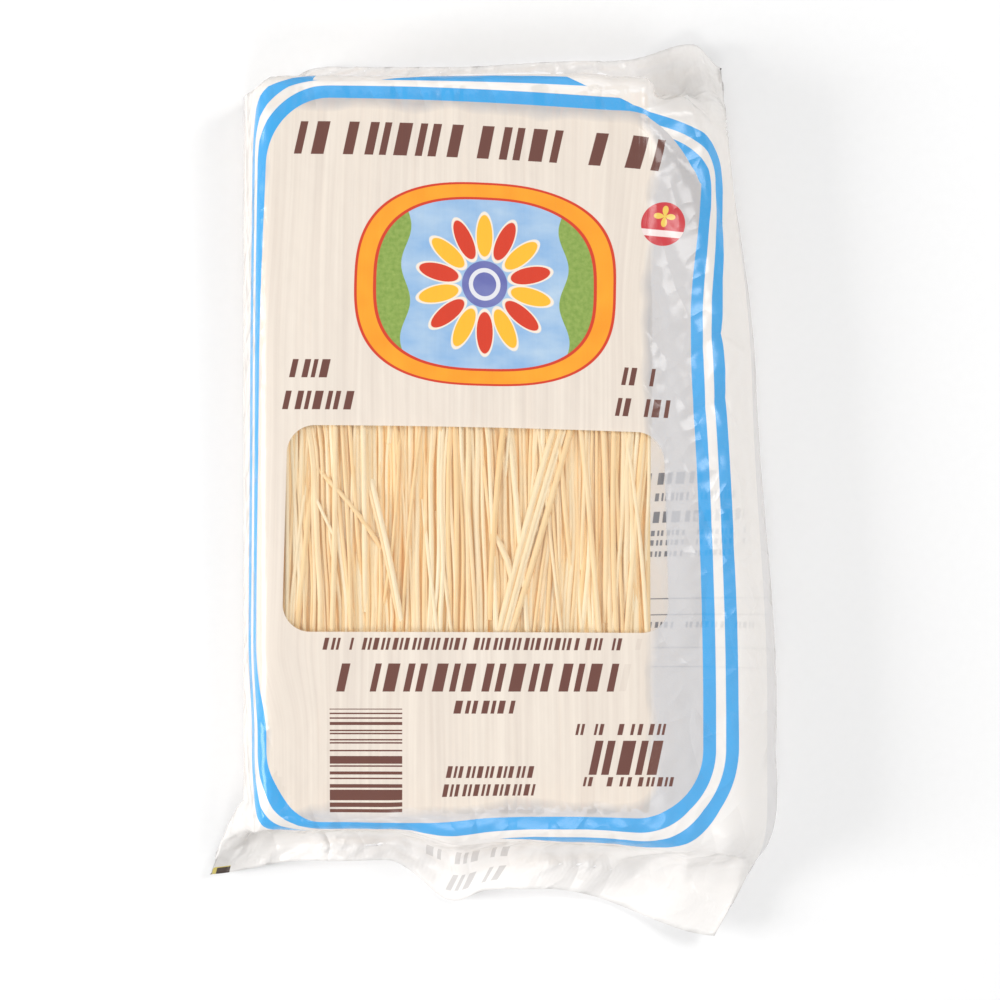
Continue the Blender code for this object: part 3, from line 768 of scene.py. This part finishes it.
def badge(tree, flat, across, along, colour, alpha):
    """A small round red mark with a pale band and a yellow bloom."""
    middle_x, middle_y, radius = BADGE
    x = across - middle_x
    y = along - middle_y
    spread = tree.vector("LENGTH", tree.joined(x, y), outlet=1)
    mark = tree.blend(cover(abs(y + 0.0032) - 0.0011), tint(206, 60, 68), tint(244, 226, 222))
    above = y - 0.0026
    lobe = abs((x.maths("ARCTAN2", above, x) * 2.0).cosine())
    bloom = tree.vector("LENGTH", tree.joined(x, above), outlet=1) - lobe * 0.0036
    mark = tree.blend(cover(bloom), mark, tint(240, 204, 92))
    mask = cover(spread - radius)
    return tree.blend(mask, colour, mark), alpha.at_least(mask * INK_ALPHA)


def clear_window(tree, flat, across, along, colour, alpha):
    """The round-cornered window, left without print."""
    clear = cover(rounded(tree, flat, WINDOW, WINDOW_CORNER))
    return colour, alpha * (1.0 - clear * (1.0 - CLEAR_ALPHA))


# Folds that hide print: across the top right corner, and along the bottom and top edges
CORNER_TUCK = (0.0356, 0.1237, 0.0722, 0.0960)
CORNER_TUCK_BOW = 0.0042
CORNER_TUCK_HIDES = 0.0115
EDGE_TUCK_LINE = 0.1231
EDGE_TUCK_HIDES = 0.0050
EDGE_TUCK_OPENS = 0.0052
LOW_TUCK = (-0.0600, 0.0560)
LOW_TUCK_OPENS_AT = 0.0060
HIGH_TUCK = (-0.0583, -0.0060)
HIGH_TUCK_OPENS_AT = -0.0360
SLIVER = (-0.0230, 0.0080, 0.0036)


def tucks(tree, flat):
    """The print's layout beyond the folds that take some of it out of sight."""
    start_x, start_y, end_x, end_y = CORNER_TUCK
    length = math.hypot(end_x - start_x, end_y - start_y)
    run = ((end_x - start_x) / length, (end_y - start_y) / length, 0.0)
    outward = (-run[1], run[0], 0.0)
    from_start = tree.vector("SUBTRACT", flat, (start_x, start_y, 0.0))
    beyond = tree.vector("DOT_PRODUCT", from_start, outward, outlet=1)
    part = tree.vector("DOT_PRODUCT", from_start, run, outlet=1) / length
    line = (part * (1.0 - part) * (4.0 * CORNER_TUCK_BOW)).at_least(0.0)
    swell = ((((part + 0.2) / 1.3).clamped() ** 0.75) * math.pi).sine().at_least(0.0) ** 1.4
    moved = tree.vector("ADD", flat, tree.scaled(outward, swell * CORNER_TUCK_HIDES * (beyond > line)))
    across, along, unused = tree.split(flat)
    sliver = (1.0 - abs(across - SLIVER[0]) / SLIVER[1]).clamped() * SLIVER[2]
    low_line = sliver + ((across - LOW_TUCK_OPENS_AT) / 0.0300).clamped() * EDGE_TUCK_OPENS + EDGE_TUCK_LINE
    low = (low_line < along * -1.0) * ((LOW_TUCK[1] - across) / 0.010).clamped() * (across > LOW_TUCK[0])
    high_line = ((across - HIGH_TUCK_OPENS_AT) / 0.0260).clamped() * EDGE_TUCK_OPENS + EDGE_TUCK_LINE
    high = (high_line < along) * ((HIGH_TUCK[1] - across) / 0.006).clamped() * (across > HIGH_TUCK[0])
    near_end = (FLAT_HALF_LENGTH - abs(along)) * (EDGE_TUCK_HIDES / (FLAT_HALF_LENGTH - EDGE_TUCK_LINE))
    return tree.vector("ADD", moved, tree.joined(0.0, (high - low) * near_end))


def stripes(tree, flat, across, along, colour, alpha):
    """Two light blue stripes that run round the front, one outside the other."""
    edge = rounded(tree, flat, STRIPE_BOX, STRIPE_CORNER)
    inner = cover(abs(edge - STRIPE_WIDTH / 2.0) - STRIPE_WIDTH / 2.0)
    outer = cover(abs(edge - (OUTER_STRIPE_START + STRIPE_WIDTH / 2.0)) - STRIPE_WIDTH / 2.0)
    both = inner.at_least(outer)
    margin = cover(STRIPE_WIDTH - edge)
    colour = tree.blend(margin, colour, MARGIN_WHITE)
    return tree.blend(both, colour, STRIPE_BLUE), alpha.at_least(both * STRIPE_ALPHA)


def bar_code(tree, flat, across, along, colour, alpha):
    """A block of plain bars, each of a random width."""
    bars = cover(rounded(tree, flat, BAR_CODE, 0.0001))
    bars = bars * (tree.chance((along / BAR_MODULE).floor()) > 0.52)
    return tree.blend(bars, colour, INK_BROWN), alpha.at_least(bars * INK_ALPHA)


def end_mark(tree, flat, across, along, colour, alpha):
    """A small dark mark with a yellow rim at the film's bottom left corner."""
    rim = cover(rounded(tree, flat, (-0.1020, -0.0950, -0.1575, -0.1525), 0.0002))
    dark = cover(rounded(tree, flat, (-0.1000, -0.0950, -0.1575, -0.1530), 0.0002))
    colour = tree.blend(rim, colour, tint(232, 214, 120))
    return tree.blend(dark, colour, tint(86, 74, 68)), alpha.at_least(rim * INK_ALPHA)


def rows(boxes, pitch, gap, seed, ink, strength=1.0, missing=0.13):
    """A part of the print: rows of slanted blocks in boxes."""
    def part(tree, flat, across, along, colour, alpha):
        mask = rows_of_blocks(tree, across, along, boxes, pitch, gap, seed, missing) * strength
        return tree.blend(mask, colour, ink), alpha.at_least(mask * INK_ALPHA)
    return part


def painted_show_through(tree, across, along):
    """White print with a painted show-through: cream with long streaks where noodles lie behind it, grey
    where the dim inside of the bag lies behind it.
    """
    wander = tree.noise(tree.joined(across * 30.0, along * 9.0), 1.0, 1.0) * 0.004
    fine = tree.noise(tree.joined((across + wander) * 620.0, along * 9.0), 1.0, 2.0)
    wide = tree.noise(tree.joined((across + wander) * 130.0, along * 5.0), 1.0, 2.0)
    streak = ((fine * 0.6 + wide * 0.4 - 0.5) * 3.2 + 0.5).clamped()
    # Painted show-through of the strands behind the film.
    backed = tree.blend(streak, BACKED_PAINTED_STREAK, BACKED_PAINTED_CREAM)
    soft = tree.noise(tree.joined(across * 60.0, along * 60.0), 1.0, 1.0) * 0.006
    block = rounded(tree, tree.joined(across, along), (-0.0750, 0.0575, -0.1140, 0.1150), 0.010)
    over = ((soft - 0.0045 - block) / 0.0035 + 0.5).clamped()
    # Painted shade where nothing backs the film.
    return tree.blend(over, EMPTY_PAINTED_GREY, backed), streak * over, over


def film_relief(tree, across, along, streak, slack, with_seals):
    """Fine creases of the film, strands that press through and the ribs of the seals."""
    point = tree.joined(across, along)
    height = tree.noise(point, 60.0, 2.0, 0.6) * 0.0008
    long_way = tree.noise(tree.joined(across * 62.0 + along * 15.0, along * 24.0), 1.0, 1.0)
    askew = tree.noise(tree.joined(along * 75.0 - across * 70.0, across * 30.0 + along * 36.0), 1.0, 1.0)
    crumple = abs(long_way - 0.5) * 0.0030 - abs(askew - 0.5) * 0.0016
    height = height + crumple * slack
    if with_seals:
        edge = ((abs(along) - (FLAT_HALF_LENGTH - SEAL_BAND)) / 0.0006).clamped()
        height = height + (across * (2.0 * math.pi / 0.0016)).sine() * edge * 0.000012
    else:
        height = height + streak * 0.00006
    return tree.node("ShaderNodeBump", (), {"Strength": 1.0, "Distance": 1.0, "Height": height})


def front_film(name, parts):
    """The printed front of the film, for the stretch of it that holds these parts."""
    material, tree, link = finish_tree("film_" + name, Roughness=FILM_ROUGHNESS, IOR=1.45)
    flat = tree.node("ShaderNodeUVMap", {"uv_map": "flat"})
    if parts is None:
        haze = tree.noise(flat, 90.0, 1.0)
        link(Base_Color=tree.blend(haze, EMPTY_PAINTED_GREY, MARGIN_WHITE))
        material.node_tree.nodes["Principled BSDF"].inputs["Alpha"].default_value = CLEAR_ALPHA
        return material
    if tucks in parts:
        flat = tucks(tree, flat)
    across, along, unused = tree.split(flat)
    colour, streak, over = painted_show_through(tree, across, along)
    alpha = over * (BACKED_ALPHA - EMPTY_ALPHA) + EMPTY_ALPHA
    for part in parts:
        if part is not tucks:
            colour, alpha = part(tree, flat, across, along, colour, alpha)
    slack = 1.0 if name == "border" else 1.0 - over
    relief = film_relief(tree, across, along, streak, slack, name == "border")
    link(Base_Color=colour, Alpha=alpha, Normal=relief)
    return material


EVERYWHERE = (-1.0, 1.0, -1.0, 1.0)

# Stretches of the front: box in the print's layout, corner radius and parts. The first that
# holds a face has it.
PRINT_REGIONS = (
    ("clear", (-0.0615, 0.0611, -0.0556, 0.0095), WINDOW_CORNER, None),
    ("window", (-0.0640, 0.0640, -0.0577, 0.0120), 0.0, (clear_window,)),
    ("emblem", (-0.0425, 0.0475, 0.0225, 0.0915), 0.0, (emblem,)),
    ("badge", (0.0520, 0.0695, 0.0720, 0.0885), 0.0, (badge,)),
    ("corner", (0.0440, 0.0800, 0.0930, 0.1250), 0.0,
     (tucks, stripes, rows(TITLE_BOXES, 0.0058, 0.0026, 2.0, INK_BROWN))),
    ("title", (-0.0705, 0.0705, 0.0920, 0.1140), 0.0105,
     (stripes, rows(TITLE_BOXES, 0.0058, 0.0026, 2.0, INK_BROWN))),
    ("labels", (-0.0712, 0.0712, 0.0120, 0.0340), 0.0,
     (rows(LABEL_BOXES[:4], 0.0033, 0.0014, 5.0, INK_BROWN),)),
    ("lines", (-0.0500, 0.0680, -0.0845, -0.0577), 0.0,
     (rows(MIDDLE_BOXES[:1], 0.0050, 0.0023, 3.0, INK_BROWN),
      rows(LABEL_BOXES[4:], 0.0028, 0.0012, 5.0, INK_BROWN),
      rows(SMALL_BOXES[:1], 0.0020, 0.0009, 4.0, INK_BROWN), bar_code)),
    ("foot", (-0.0600, 0.0690, -0.1140, -0.0750), 0.0180,
     (rows(MIDDLE_BOXES[1:], 0.0050, 0.0020, 3.0, INK_BROWN, 1.0, 0.0),
      rows(SMALL_BOXES[1:], 0.0020, 0.0009, 4.0, INK_BROWN), bar_code)),
    ("field", (-0.0712, 0.0712, -0.1145, 0.1145), STRIPE_CORNER, ()),
    ("border", EVERYWHERE, 0.0,
     (tucks, stripes, rows(STAMP_BOXES, 0.0034, 0.0016, 6.0, STAMP_GREY, 0.5),
      end_mark)),
)

BACK_SEAM_SIDE = 0.0120
BACK_SEAM_WIDTH = 0.0100
BACK_BOXES = ((-0.0620, 0.0720, -0.0032, 0.0011), (-0.0620, 0.0800, -0.0171, -0.0130))
BACK_SMALL_BOXES = ((-0.0620, 0.0790, -0.0092, -0.0063), (-0.0620, 0.0800, -0.0219, -0.0199),
                    (-0.0620, 0.0780, -0.0254, -0.0234), (-0.0620, 0.0740, -0.0295, -0.0275),
                    (-0.0620, 0.0800, -0.0556, -0.0534))
BACK_LINES = ((-0.0700, 0.0860, -0.0451, -0.0447), (-0.0700, 0.0860, -0.0510, -0.0506),
              (-0.0700, 0.0860, -0.0630, -0.0627), (-0.0700, 0.0860, -0.0700, -0.0697))


def back_rows(tree, across, along):
    """Rows of plain blocks and ruled lines on the back, laid out as seen through the front."""
    point = tree.joined(across, along)
    wide = rows_of_blocks(tree, across, along, BACK_BOXES, 0.0036, 0.0015, 8.0, 0.13)
    small = rows_of_blocks(tree, across, along, BACK_SMALL_BOXES, 0.0017, 0.0008, 9.0, 0.13)
    lines = cover(nearest([rounded(tree, point, box, 0.0001) for box in BACK_LINES]))
    return wide.at_least(small).at_least(lines)


def back_film():
    """The back of the film, white with rows of plain blocks, and a painted glow on its flat part that stands
    in for light passing through the film.
    """
    material, tree, link = finish_tree("film_back", Roughness=FILM_ROUGHNESS, IOR=1.45,
                                       Emission_Strength=THROUGH_LIGHT)
    flat = tree.node("ShaderNodeUVMap", {"uv_map": "flat"})
    around, along, unused = tree.split(flat)
    across = 2.0 * FLAT_HALF_WIDTH - around
    printed = back_rows(tree, across, along)
    colour = tree.blend(printed, BACK_WHITE, BACK_GREY)
    alpha = printed * (INK_ALPHA - EMPTY_ALPHA) + EMPTY_ALPHA
    # Painted glow: the flat part of the back glows in its own colour, standing in for light that passes
    # through the film into the bag.
    flat_part = ((0.075 - abs(across - 0.005)) / 0.010).clamped()
    painted_through_glow = tree.blend(flat_part, BLACK, colour)
    seam = cover(abs(across + BACK_SEAM_SIDE) - BACK_SEAM_WIDTH / 2.0)
    alpha = alpha.at_least(seam * BACKED_ALPHA)
    relief = film_relief(tree, across, along, 0.0, 1.0, True)
    link(Base_Color=colour, Alpha=alpha, Emission_Color=painted_through_glow, Normal=relief)
    return material


STRAND_DARK = tint(247, 208, 146)
STRAND_PALE = tint(254, 237, 201)
# Painted warmth: lower strands are tinted more golden, standing in for light bounced between strands in the
# gaps.
STRAND_PAINTED_WARMTH = tint(255, 214, 142)
# Painted glow: the lower strands give off a faint light that stands in for light passing through between
# strands.
STRAND_GLOW = tint(216, 184, 98)
STRAND_GLOW_STRENGTH = 0.135


def noodle_finish():
    """Dry rice noodle: cream, each strand with its own tone; lower strands get a painted warm tint and a
    painted glow that stand in for light passing through between strands.
    """
    material, tree, link = finish_tree("rice_noodle", Roughness=0.48, IOR=1.45,
                                       Emission_Strength=STRAND_GLOW_STRENGTH)
    place = tree.node("ShaderNodeTexCoord", (), (), 3)
    tone = tree.node("ShaderNodeAttribute", {"attribute_name": "tone"}, (), 2)
    x, y, z = tree.split(place)
    grain = tree.noise(tree.joined(x * 1500.0, y * 60.0, z * 1500.0), 1.0, 2.0)
    patch = tree.noise(place, 70.0, 2.0)
    mixed = (tone * 0.9 + (patch - 0.5) * 0.5 + (grain - 0.5) * 0.35).clamped()
    colour = tree.blend(mixed, STRAND_DARK, STRAND_PALE)
    # Painted warmth of bounced light on the lower strands.
    deep = ((NOODLE_HIGH[2] - 0.0012 - z) / 0.0022).clamped()
    colour = tree.blend(deep, colour, STRAND_PAINTED_WARMTH)
    bump = tree.node("ShaderNodeBump", (), {"Strength": 0.6, "Distance": 0.0004, "Height": grain})
    # Painted glow, stronger on the lower strands.
    between = ((NOODLE_HIGH[2] - 0.0005 - z) / 0.0018).clamped()
    painted_glow = tree.blend(between, BLACK, STRAND_GLOW)
    link(Base_Color=colour, Emission_Color=painted_glow, Normal=bump)
    return material


STRAND_RADIUS = 0.00080
STRAND_SIDES = 6


def geometry_tree(name, inputs):
    """An empty Geometry Nodes tree with named inputs, each its kind and first value."""
    group = bpy.data.node_groups.new(name, "GeometryNodeTree")
    group.interface.new_socket("Geometry", in_out="INPUT", socket_type="NodeSocketGeometry")
    group.interface.new_socket("Geometry", in_out="OUTPUT", socket_type="NodeSocketGeometry")
    for label, (kind, value) in inputs.items():
        socket = group.interface.new_socket(label, in_out="INPUT", socket_type="NodeSocket" + kind)
        if value is not None:
            socket.default_value = value
    tree = Tree(group)
    start = group.nodes.new("NodeGroupInput")
    given = {outlet.name: Value(tree, outlet) for outlet in start.outputs if outlet.name}
    return tree, given


def finish_geometry(tree, shape, material):
    """End a tree with real geometry that carries its material."""
    real = tree.node("GeometryNodeRealizeInstances", (), {0: shape})
    done = tree.node("GeometryNodeSetMaterial", (), {0: real, 2: material})
    end = tree.tree.nodes.new("NodeGroupOutput")
    tree.tree.links.new(done.socket, end.inputs[0])


def wandering(tree, shape, given, seed):
    """Strands that drift in locks and each a little on its own, kept within the block."""
    place = tree.node("GeometryNodeInputPosition")
    strand = tree.node("GeometryNodeInputNamedAttribute", {"data_type": "FLOAT"}, {"Name": "strand"})
    x, y, z = tree.split(place)
    lock = tree.node("ShaderNodeTexNoise", (), {"Vector": tree.joined(x * 55.0, y * 13.0, z * 40.0 + seed),
                                                 "Scale": 1.0, "Detail": 1.0}, 1)
    own = tree.node("ShaderNodeTexNoise", (), {"Vector": tree.joined(strand * 3.7, y * 17.0, z * 9.0 + seed),
                                               "Scale": 1.0, "Detail": 1.0}, 1)
    half = (0.5, 0.5, 0.5)
    drift = tree.scaled(tree.vector("SUBTRACT", lock, half), given["Lock drift"])
    sway = tree.scaled(tree.vector("SUBTRACT", own, half), given["Own drift"])
    moved = tree.vector("MULTIPLY", tree.vector("ADD", drift, sway), (1.0, 0.6, 0.45))
    moved = tree.vector("ADD", place, moved)
    kept = tree.vector("MINIMUM", tree.vector("MAXIMUM", moved, given["Low corner"]), given["High corner"])
    return tree.node("GeometryNodeSetPosition", (), {0: shape, 2: kept})


def tubes(tree, curves, given):
    """Tubes along curves, each with its own thickness and tone."""
    strand = tree.node("GeometryNodeInputNamedAttribute", {"data_type": "FLOAT"}, {"Name": "strand"})
    tone = tree.chance(strand)
    toned = tree.node("GeometryNodeStoreNamedAttribute", {"data_type": "FLOAT", "domain": "POINT"},
                      {0: curves, 2: "tone", 3: tone})
    ring = tree.node("GeometryNodeCurvePrimitiveCircle", {"mode": "RADIUS"},
                     {0: STRAND_SIDES, 4: given["Strand radius"]})
    thickness = tree.chance(strand + 0.37) ** 2.0 * 0.75 + 0.72
    return tree.node("GeometryNodeCurveToMesh", (), {0: toned, 1: ring, 2: thickness, 3: True})


def skein_tree(material):
    """Loops of noodle side by side: over the top, round the ends and back along the bottom."""
    tree, given = geometry_tree("noodle_skein", {
        "Strands": ("Int", 90), "Width": ("Float", 0.12), "Length": ("Float", 0.22), "Depth": ("Float", 0.03),
        "End radius": ("Float", 0.012), "Centre": ("Vector", None), "Strand radius": ("Float", STRAND_RADIUS),
        "Lock drift": ("Float", 0.010), "Own drift": ("Float", 0.005), "Low corner": ("Vector", None),
        "High corner": ("Vector", None), "Seed": ("Float", 1.0)})
    loop = tree.node("GeometryNodeCurvePrimitiveQuadrilateral", {"mode": "RECTANGLE"},
                     {0: given["Length"], 1: given["Depth"]})
    loop = tree.node("GeometryNodeFilletCurve", {"mode": "POLY"},
                     {0: loop, 1: 6, 2: given["End radius"], 3: True})
    loop = tree.node("GeometryNodeResampleCurve", {"mode": "LENGTH"}, {0: loop, 3: 0.0072})
    loop = tree.node("GeometryNodeTransform", (), {0: loop, 2: (math.radians(90.0), 0.0, math.radians(90.0))})
    start = tree.vector("SUBTRACT", given["Centre"], tree.joined(given["Width"] / 2.0, 0.0))
    step = tree.joined(given["Width"] / (given["Strands"] - 1.0), 0.0)
    places = tree.node("GeometryNodeMeshLine", {"mode": "OFFSET"}, {0: given["Strands"], 2: start, 3: step})
    number = tree.node("GeometryNodeInputIndex") + given["Seed"] * 173.0
    places = tree.node("GeometryNodeStoreNamedAttribute", {"data_type": "FLOAT", "domain": "POINT"},
                       {0: places, 2: "strand", 3: number})
    jitter = tree.joined(0.0, (tree.chance(number) - 0.5) * 0.006, 0.0)
    places = tree.node("GeometryNodeSetPosition", (), {0: places, 3: jitter})
    strands = tree.node("GeometryNodeInstanceOnPoints", (), {0: places, 2: loop})
    strands = tree.node("GeometryNodeRealizeInstances", (), {0: strands})
    strands = wandering(tree, strands, given, given["Seed"] * 11.0)
    finish_geometry(tree, tubes(tree, strands, given), material)
    return tree.tree


def built(name, base, group, settings):
    """The plain mesh that a Geometry Nodes tree makes on a base object."""
    bpy.context.scene.collection.objects.link(base)
    modifier = base.modifiers.new("build", "NODES")
    modifier.node_group = group
    sockets = {item.name: item.identifier for item in group.interface.items_tree if item.in_out == "INPUT"}
    for label, value in settings.items():
        modifier[sockets[label]] = value
    graph = bpy.context.evaluated_depsgraph_get()
    mesh = bpy.data.meshes.new_from_object(base.evaluated_get(graph))
    mesh.name = name
    base.modifiers.remove(modifier)
    bpy.data.objects.remove(base)
    mesh.polygons.foreach_set("use_smooth", [True] * len(mesh.polygons))
    return mesh


NOODLE_LOW = (-0.0672, -0.1155, 0.0022)
NOODLE_HIGH = (0.0562, 0.1195, 0.0344)
LAYERS = 4
LAYER_GAP = 0.00095
OUTER_INSET = 0.0012
LOOP_END_RADIUS = 0.0125
STRANDS_ACROSS = 96

# Strands seen to cross the others: start, end and how many lie side by side, from the print's middle
CROSSING_STRANDS = ((-0.0516, -0.0036, -0.0308, -0.0294, 1), (-0.0354, -0.0073, -0.0252, -0.0530, 2),
                    (-0.0535, -0.0100, -0.0442, -0.0291, 1), (0.0269, 0.0200, 0.0042, -0.0650, 6),
                    (0.0048, -0.0236, 0.0118, -0.0433, 1))
STRAY_COUNT = 64
STRAY_SEED = 21


def stray_routes():
    """Routes of the strands that lie askew on the others, each a list of points."""
    chance = random.Random(STRAY_SEED)
    low, high = np.array(NOODLE_LOW), np.array(NOODLE_HIGH)
    lines = []
    for start_x, start_y, end_x, end_y, count in CROSSING_STRANDS:
        for beside in range(count):
            lines.append((start_x + beside * 0.0013, start_y, end_x + beside * 0.0009, end_y, 0.0))
    for number in range(STRAY_COUNT):
        length = chance.uniform(0.050, 0.190)
        middle_y = chance.uniform(low[1] + 0.02, high[1] - 0.02)
        middle_x = chance.uniform(low[0] + 0.004, high[0] - 0.004)
        lean = math.tan(math.radians(chance.uniform(-6.5, 6.5)))
        lines.append((middle_x + lean * length / 2.0, middle_y + length / 2.0,
                      middle_x - lean * length / 2.0, middle_y - length / 2.0, 0.0006 * chance.random()))
    routes = []
    for start_x, start_y, end_x, end_y, sunk in lines:
        steps = max(4, round(math.hypot(end_x - start_x, end_y - start_y) / 0.007))
        bow = chance.uniform(-0.0022, 0.0022)
        route = []
        for step in range(steps + 1):
            part = step / steps
            dive = 0.0016 * max(0.0, abs(2.0 * part - 1.0) - 0.75) / 0.25
            x = start_x + (end_x - start_x) * part + bow * math.sin(math.pi * part)
            y = start_y + (end_y - start_y) * part
            place = np.array((x, y, high[2] - sunk - dive))
            route.append(np.minimum(np.maximum(place, low + STRAND_RADIUS), high) - np.array(MIDDLE))
        routes.append(route)
    return routes


def stray_tree(material):
    """Tubes along the routes that the tree is given."""
    tree, given = geometry_tree("stray_noodles", {"Strand radius": ("Float", STRAND_RADIUS)})
    number = tree.node("GeometryNodeInputIndex") + 1000.0
    routes = tree.node("GeometryNodeStoreNamedAttribute", {"data_type": "FLOAT", "domain": "CURVE"},
                       {0: given["Geometry"], 2: "strand", 3: number})
    finish_geometry(tree, tubes(tree, routes, given), material)
    return tree.tree


def make_strays(material):
    """The strands that lie askew on top, as one piece."""
    curve = bpy.data.curves.new("stray_routes", "CURVE")
    curve.dimensions = "3D"
    for route in stray_routes():
        spline = curve.splines.new("POLY")
        spline.points.add(len(route) - 1)
        for point, place in zip(spline.points, route):
            point.co = (*place, 1.0)
    base = bpy.data.objects.new("stray_base", curve)
    return add_piece("loose_noodles", built("loose_noodles", base, stray_tree(material), {}))


def make_noodles(material):
    """Layers of looped noodles, one inside the other."""
    group = skein_tree(material)
    shift = np.array(MIDDLE)
    low, high = np.array(NOODLE_LOW) - shift, np.array(NOODLE_HIGH) - shift
    pieces = []
    for layer in range(LAYERS):
        inset = layer * LAYER_GAP + OUTER_INSET
        settings = {
            "Strands": STRANDS_ACROSS, "Width": float(high[0] - low[0] - 0.0010 * layer),
            "Length": float(high[1] - low[1] - 2.0 * inset), "Depth": float(high[2] - low[2] - 2.0 * inset),
            "End radius": LOOP_END_RADIUS - inset, "Centre": tuple((low + high) / 2.0),
            "Low corner": tuple(low + 0.4 * inset), "High corner": tuple(high - 0.4 * inset),
            "Seed": 1.0 + layer}
        base = bpy.data.objects.new("skein_base", bpy.data.meshes.new("skein_base"))
        mesh = built(f"noodle_layer_{layer + 1}", base, group, settings)
        pieces.append(add_piece(f"noodle_layer_{layer + 1}", mesh))
    return pieces


def make_core(material):
    """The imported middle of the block, below the looped strands."""
    inset = LAYERS * LAYER_GAP + 0.0004
    low = np.array(NOODLE_LOW) - np.array(MIDDLE) + inset
    high = np.array(NOODLE_HIGH) - np.array(MIDDLE) - inset
    shape = bmesh.new()
    bmesh.ops.create_cube(shape, size=1.0)
    for corner in shape.verts:
        corner.co = Vector((low + high) / 2.0 + np.array(corner.co) * (high - low))
    bmesh.ops.bevel(shape, geom=shape.edges[:], offset=0.003, segments=3, profile=0.5, affect="EDGES")
    mesh = bpy.data.meshes.new("noodle_core")
    shape.to_mesh(mesh)
    shape.free()
    mesh.materials.append(material)
    return add_piece("noodle_core", mesh)


def add_piece(name, mesh, *nodes):
    """A finished piece that rides on the part and may stand for CAD nodes."""
    piece = bpy.data.objects.new(name, mesh)
    bpy.context.scene.collection.objects.link(piece)
    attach(piece, "root")
    if nodes:
        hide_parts(*nodes)
    return piece


SKY_STRENGTH = 0.53

# Soft lights that point at the bag: name, place, size and power
LIGHTS = (("left", (-1.00, -0.12, 0.48), 0.5, 7.4), ("right", (0.55, 0.32, 0.80), 0.35, 3.1),
          ("front", (0.03, -0.50, 0.85), 0.3, 1.3))
LIGHT_TARGET = (0.0, 0.0, 0.02)
CAMERA_LENS = 96.4
CAMERA_PLACE = (0.0024, -0.0030, 0.9)


def aimed_light(name, place, size, energy):
    """A square soft light that points at the bag."""
    data = bpy.data.lights.new(name, "AREA")
    data.energy = energy
    data.size = size
    light = bpy.data.objects.new(name, data)
    light.location = place
    aim = Vector(LIGHT_TARGET) - Vector(place)
    light.rotation_euler = aim.to_track_quat("-Z", "Y").to_euler()
    bpy.context.scene.collection.objects.link(light)


def make_stage():
    """A pale floor, soft studio light, and the camera straight above."""
    mesh = bpy.data.meshes.new("floor")
    reach = 3.0
    mesh.from_pydata([(-reach, -reach, 0), (reach, -reach, 0), (reach, reach, 0), (-reach, reach, 0)], [],
                     [(0, 1, 2, 3)])
    mesh.materials.append(floor_finish())
    floor = bpy.data.objects.new("floor", mesh)
    floor.location.z = -0.0002
    bpy.context.scene.collection.objects.link(floor)
    world = bpy.data.worlds.new("studio")
    bpy.context.scene.world = world
    world.use_nodes = True
    sky = world.node_tree.nodes["Background"]
    sky.inputs["Color"].default_value = (1.0, 1.0, 1.0, 1.0)
    sky.inputs["Strength"].default_value = SKY_STRENGTH
    for light in LIGHTS:
        aimed_light(*light)
    data = bpy.data.cameras.new("camera")
    data.lens = CAMERA_LENS
    camera = bpy.data.objects.new("camera", data)
    camera.location = CAMERA_PLACE
    bpy.context.scene.collection.objects.link(camera)
    bpy.context.scene.camera = camera
    bpy.context.scene.view_settings.view_transform = "Standard"


def floor_finish():
    """Matt white studio paper."""
    material, tree, link = finish_tree("studio_paper", Roughness=0.9)
    place = tree.node("ShaderNodeTexCoord", (), (), 3)
    speck = tree.noise(place, 300.0, 2.0)
    link(Base_Color=tree.blend(speck, (0.93, 0.93, 0.93, 1.0), (0.96, 0.96, 0.96, 1.0)))
    return material


make_stage()
noodle = noodle_finish()
core = make_core(noodle)
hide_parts("vermicelli_bundle")
for piece in make_noodles(noodle) + [make_strays(noodle)]:
    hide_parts("vermicelli_bundle")
film = relaxed_film()
bag = add_piece("bag_film", film_mesh(film), "bag")
for name, box, corner, parts in PRINT_REGIONS:
    bag.data.materials.append(front_film(name, parts))
bag.data.materials.append(back_film())
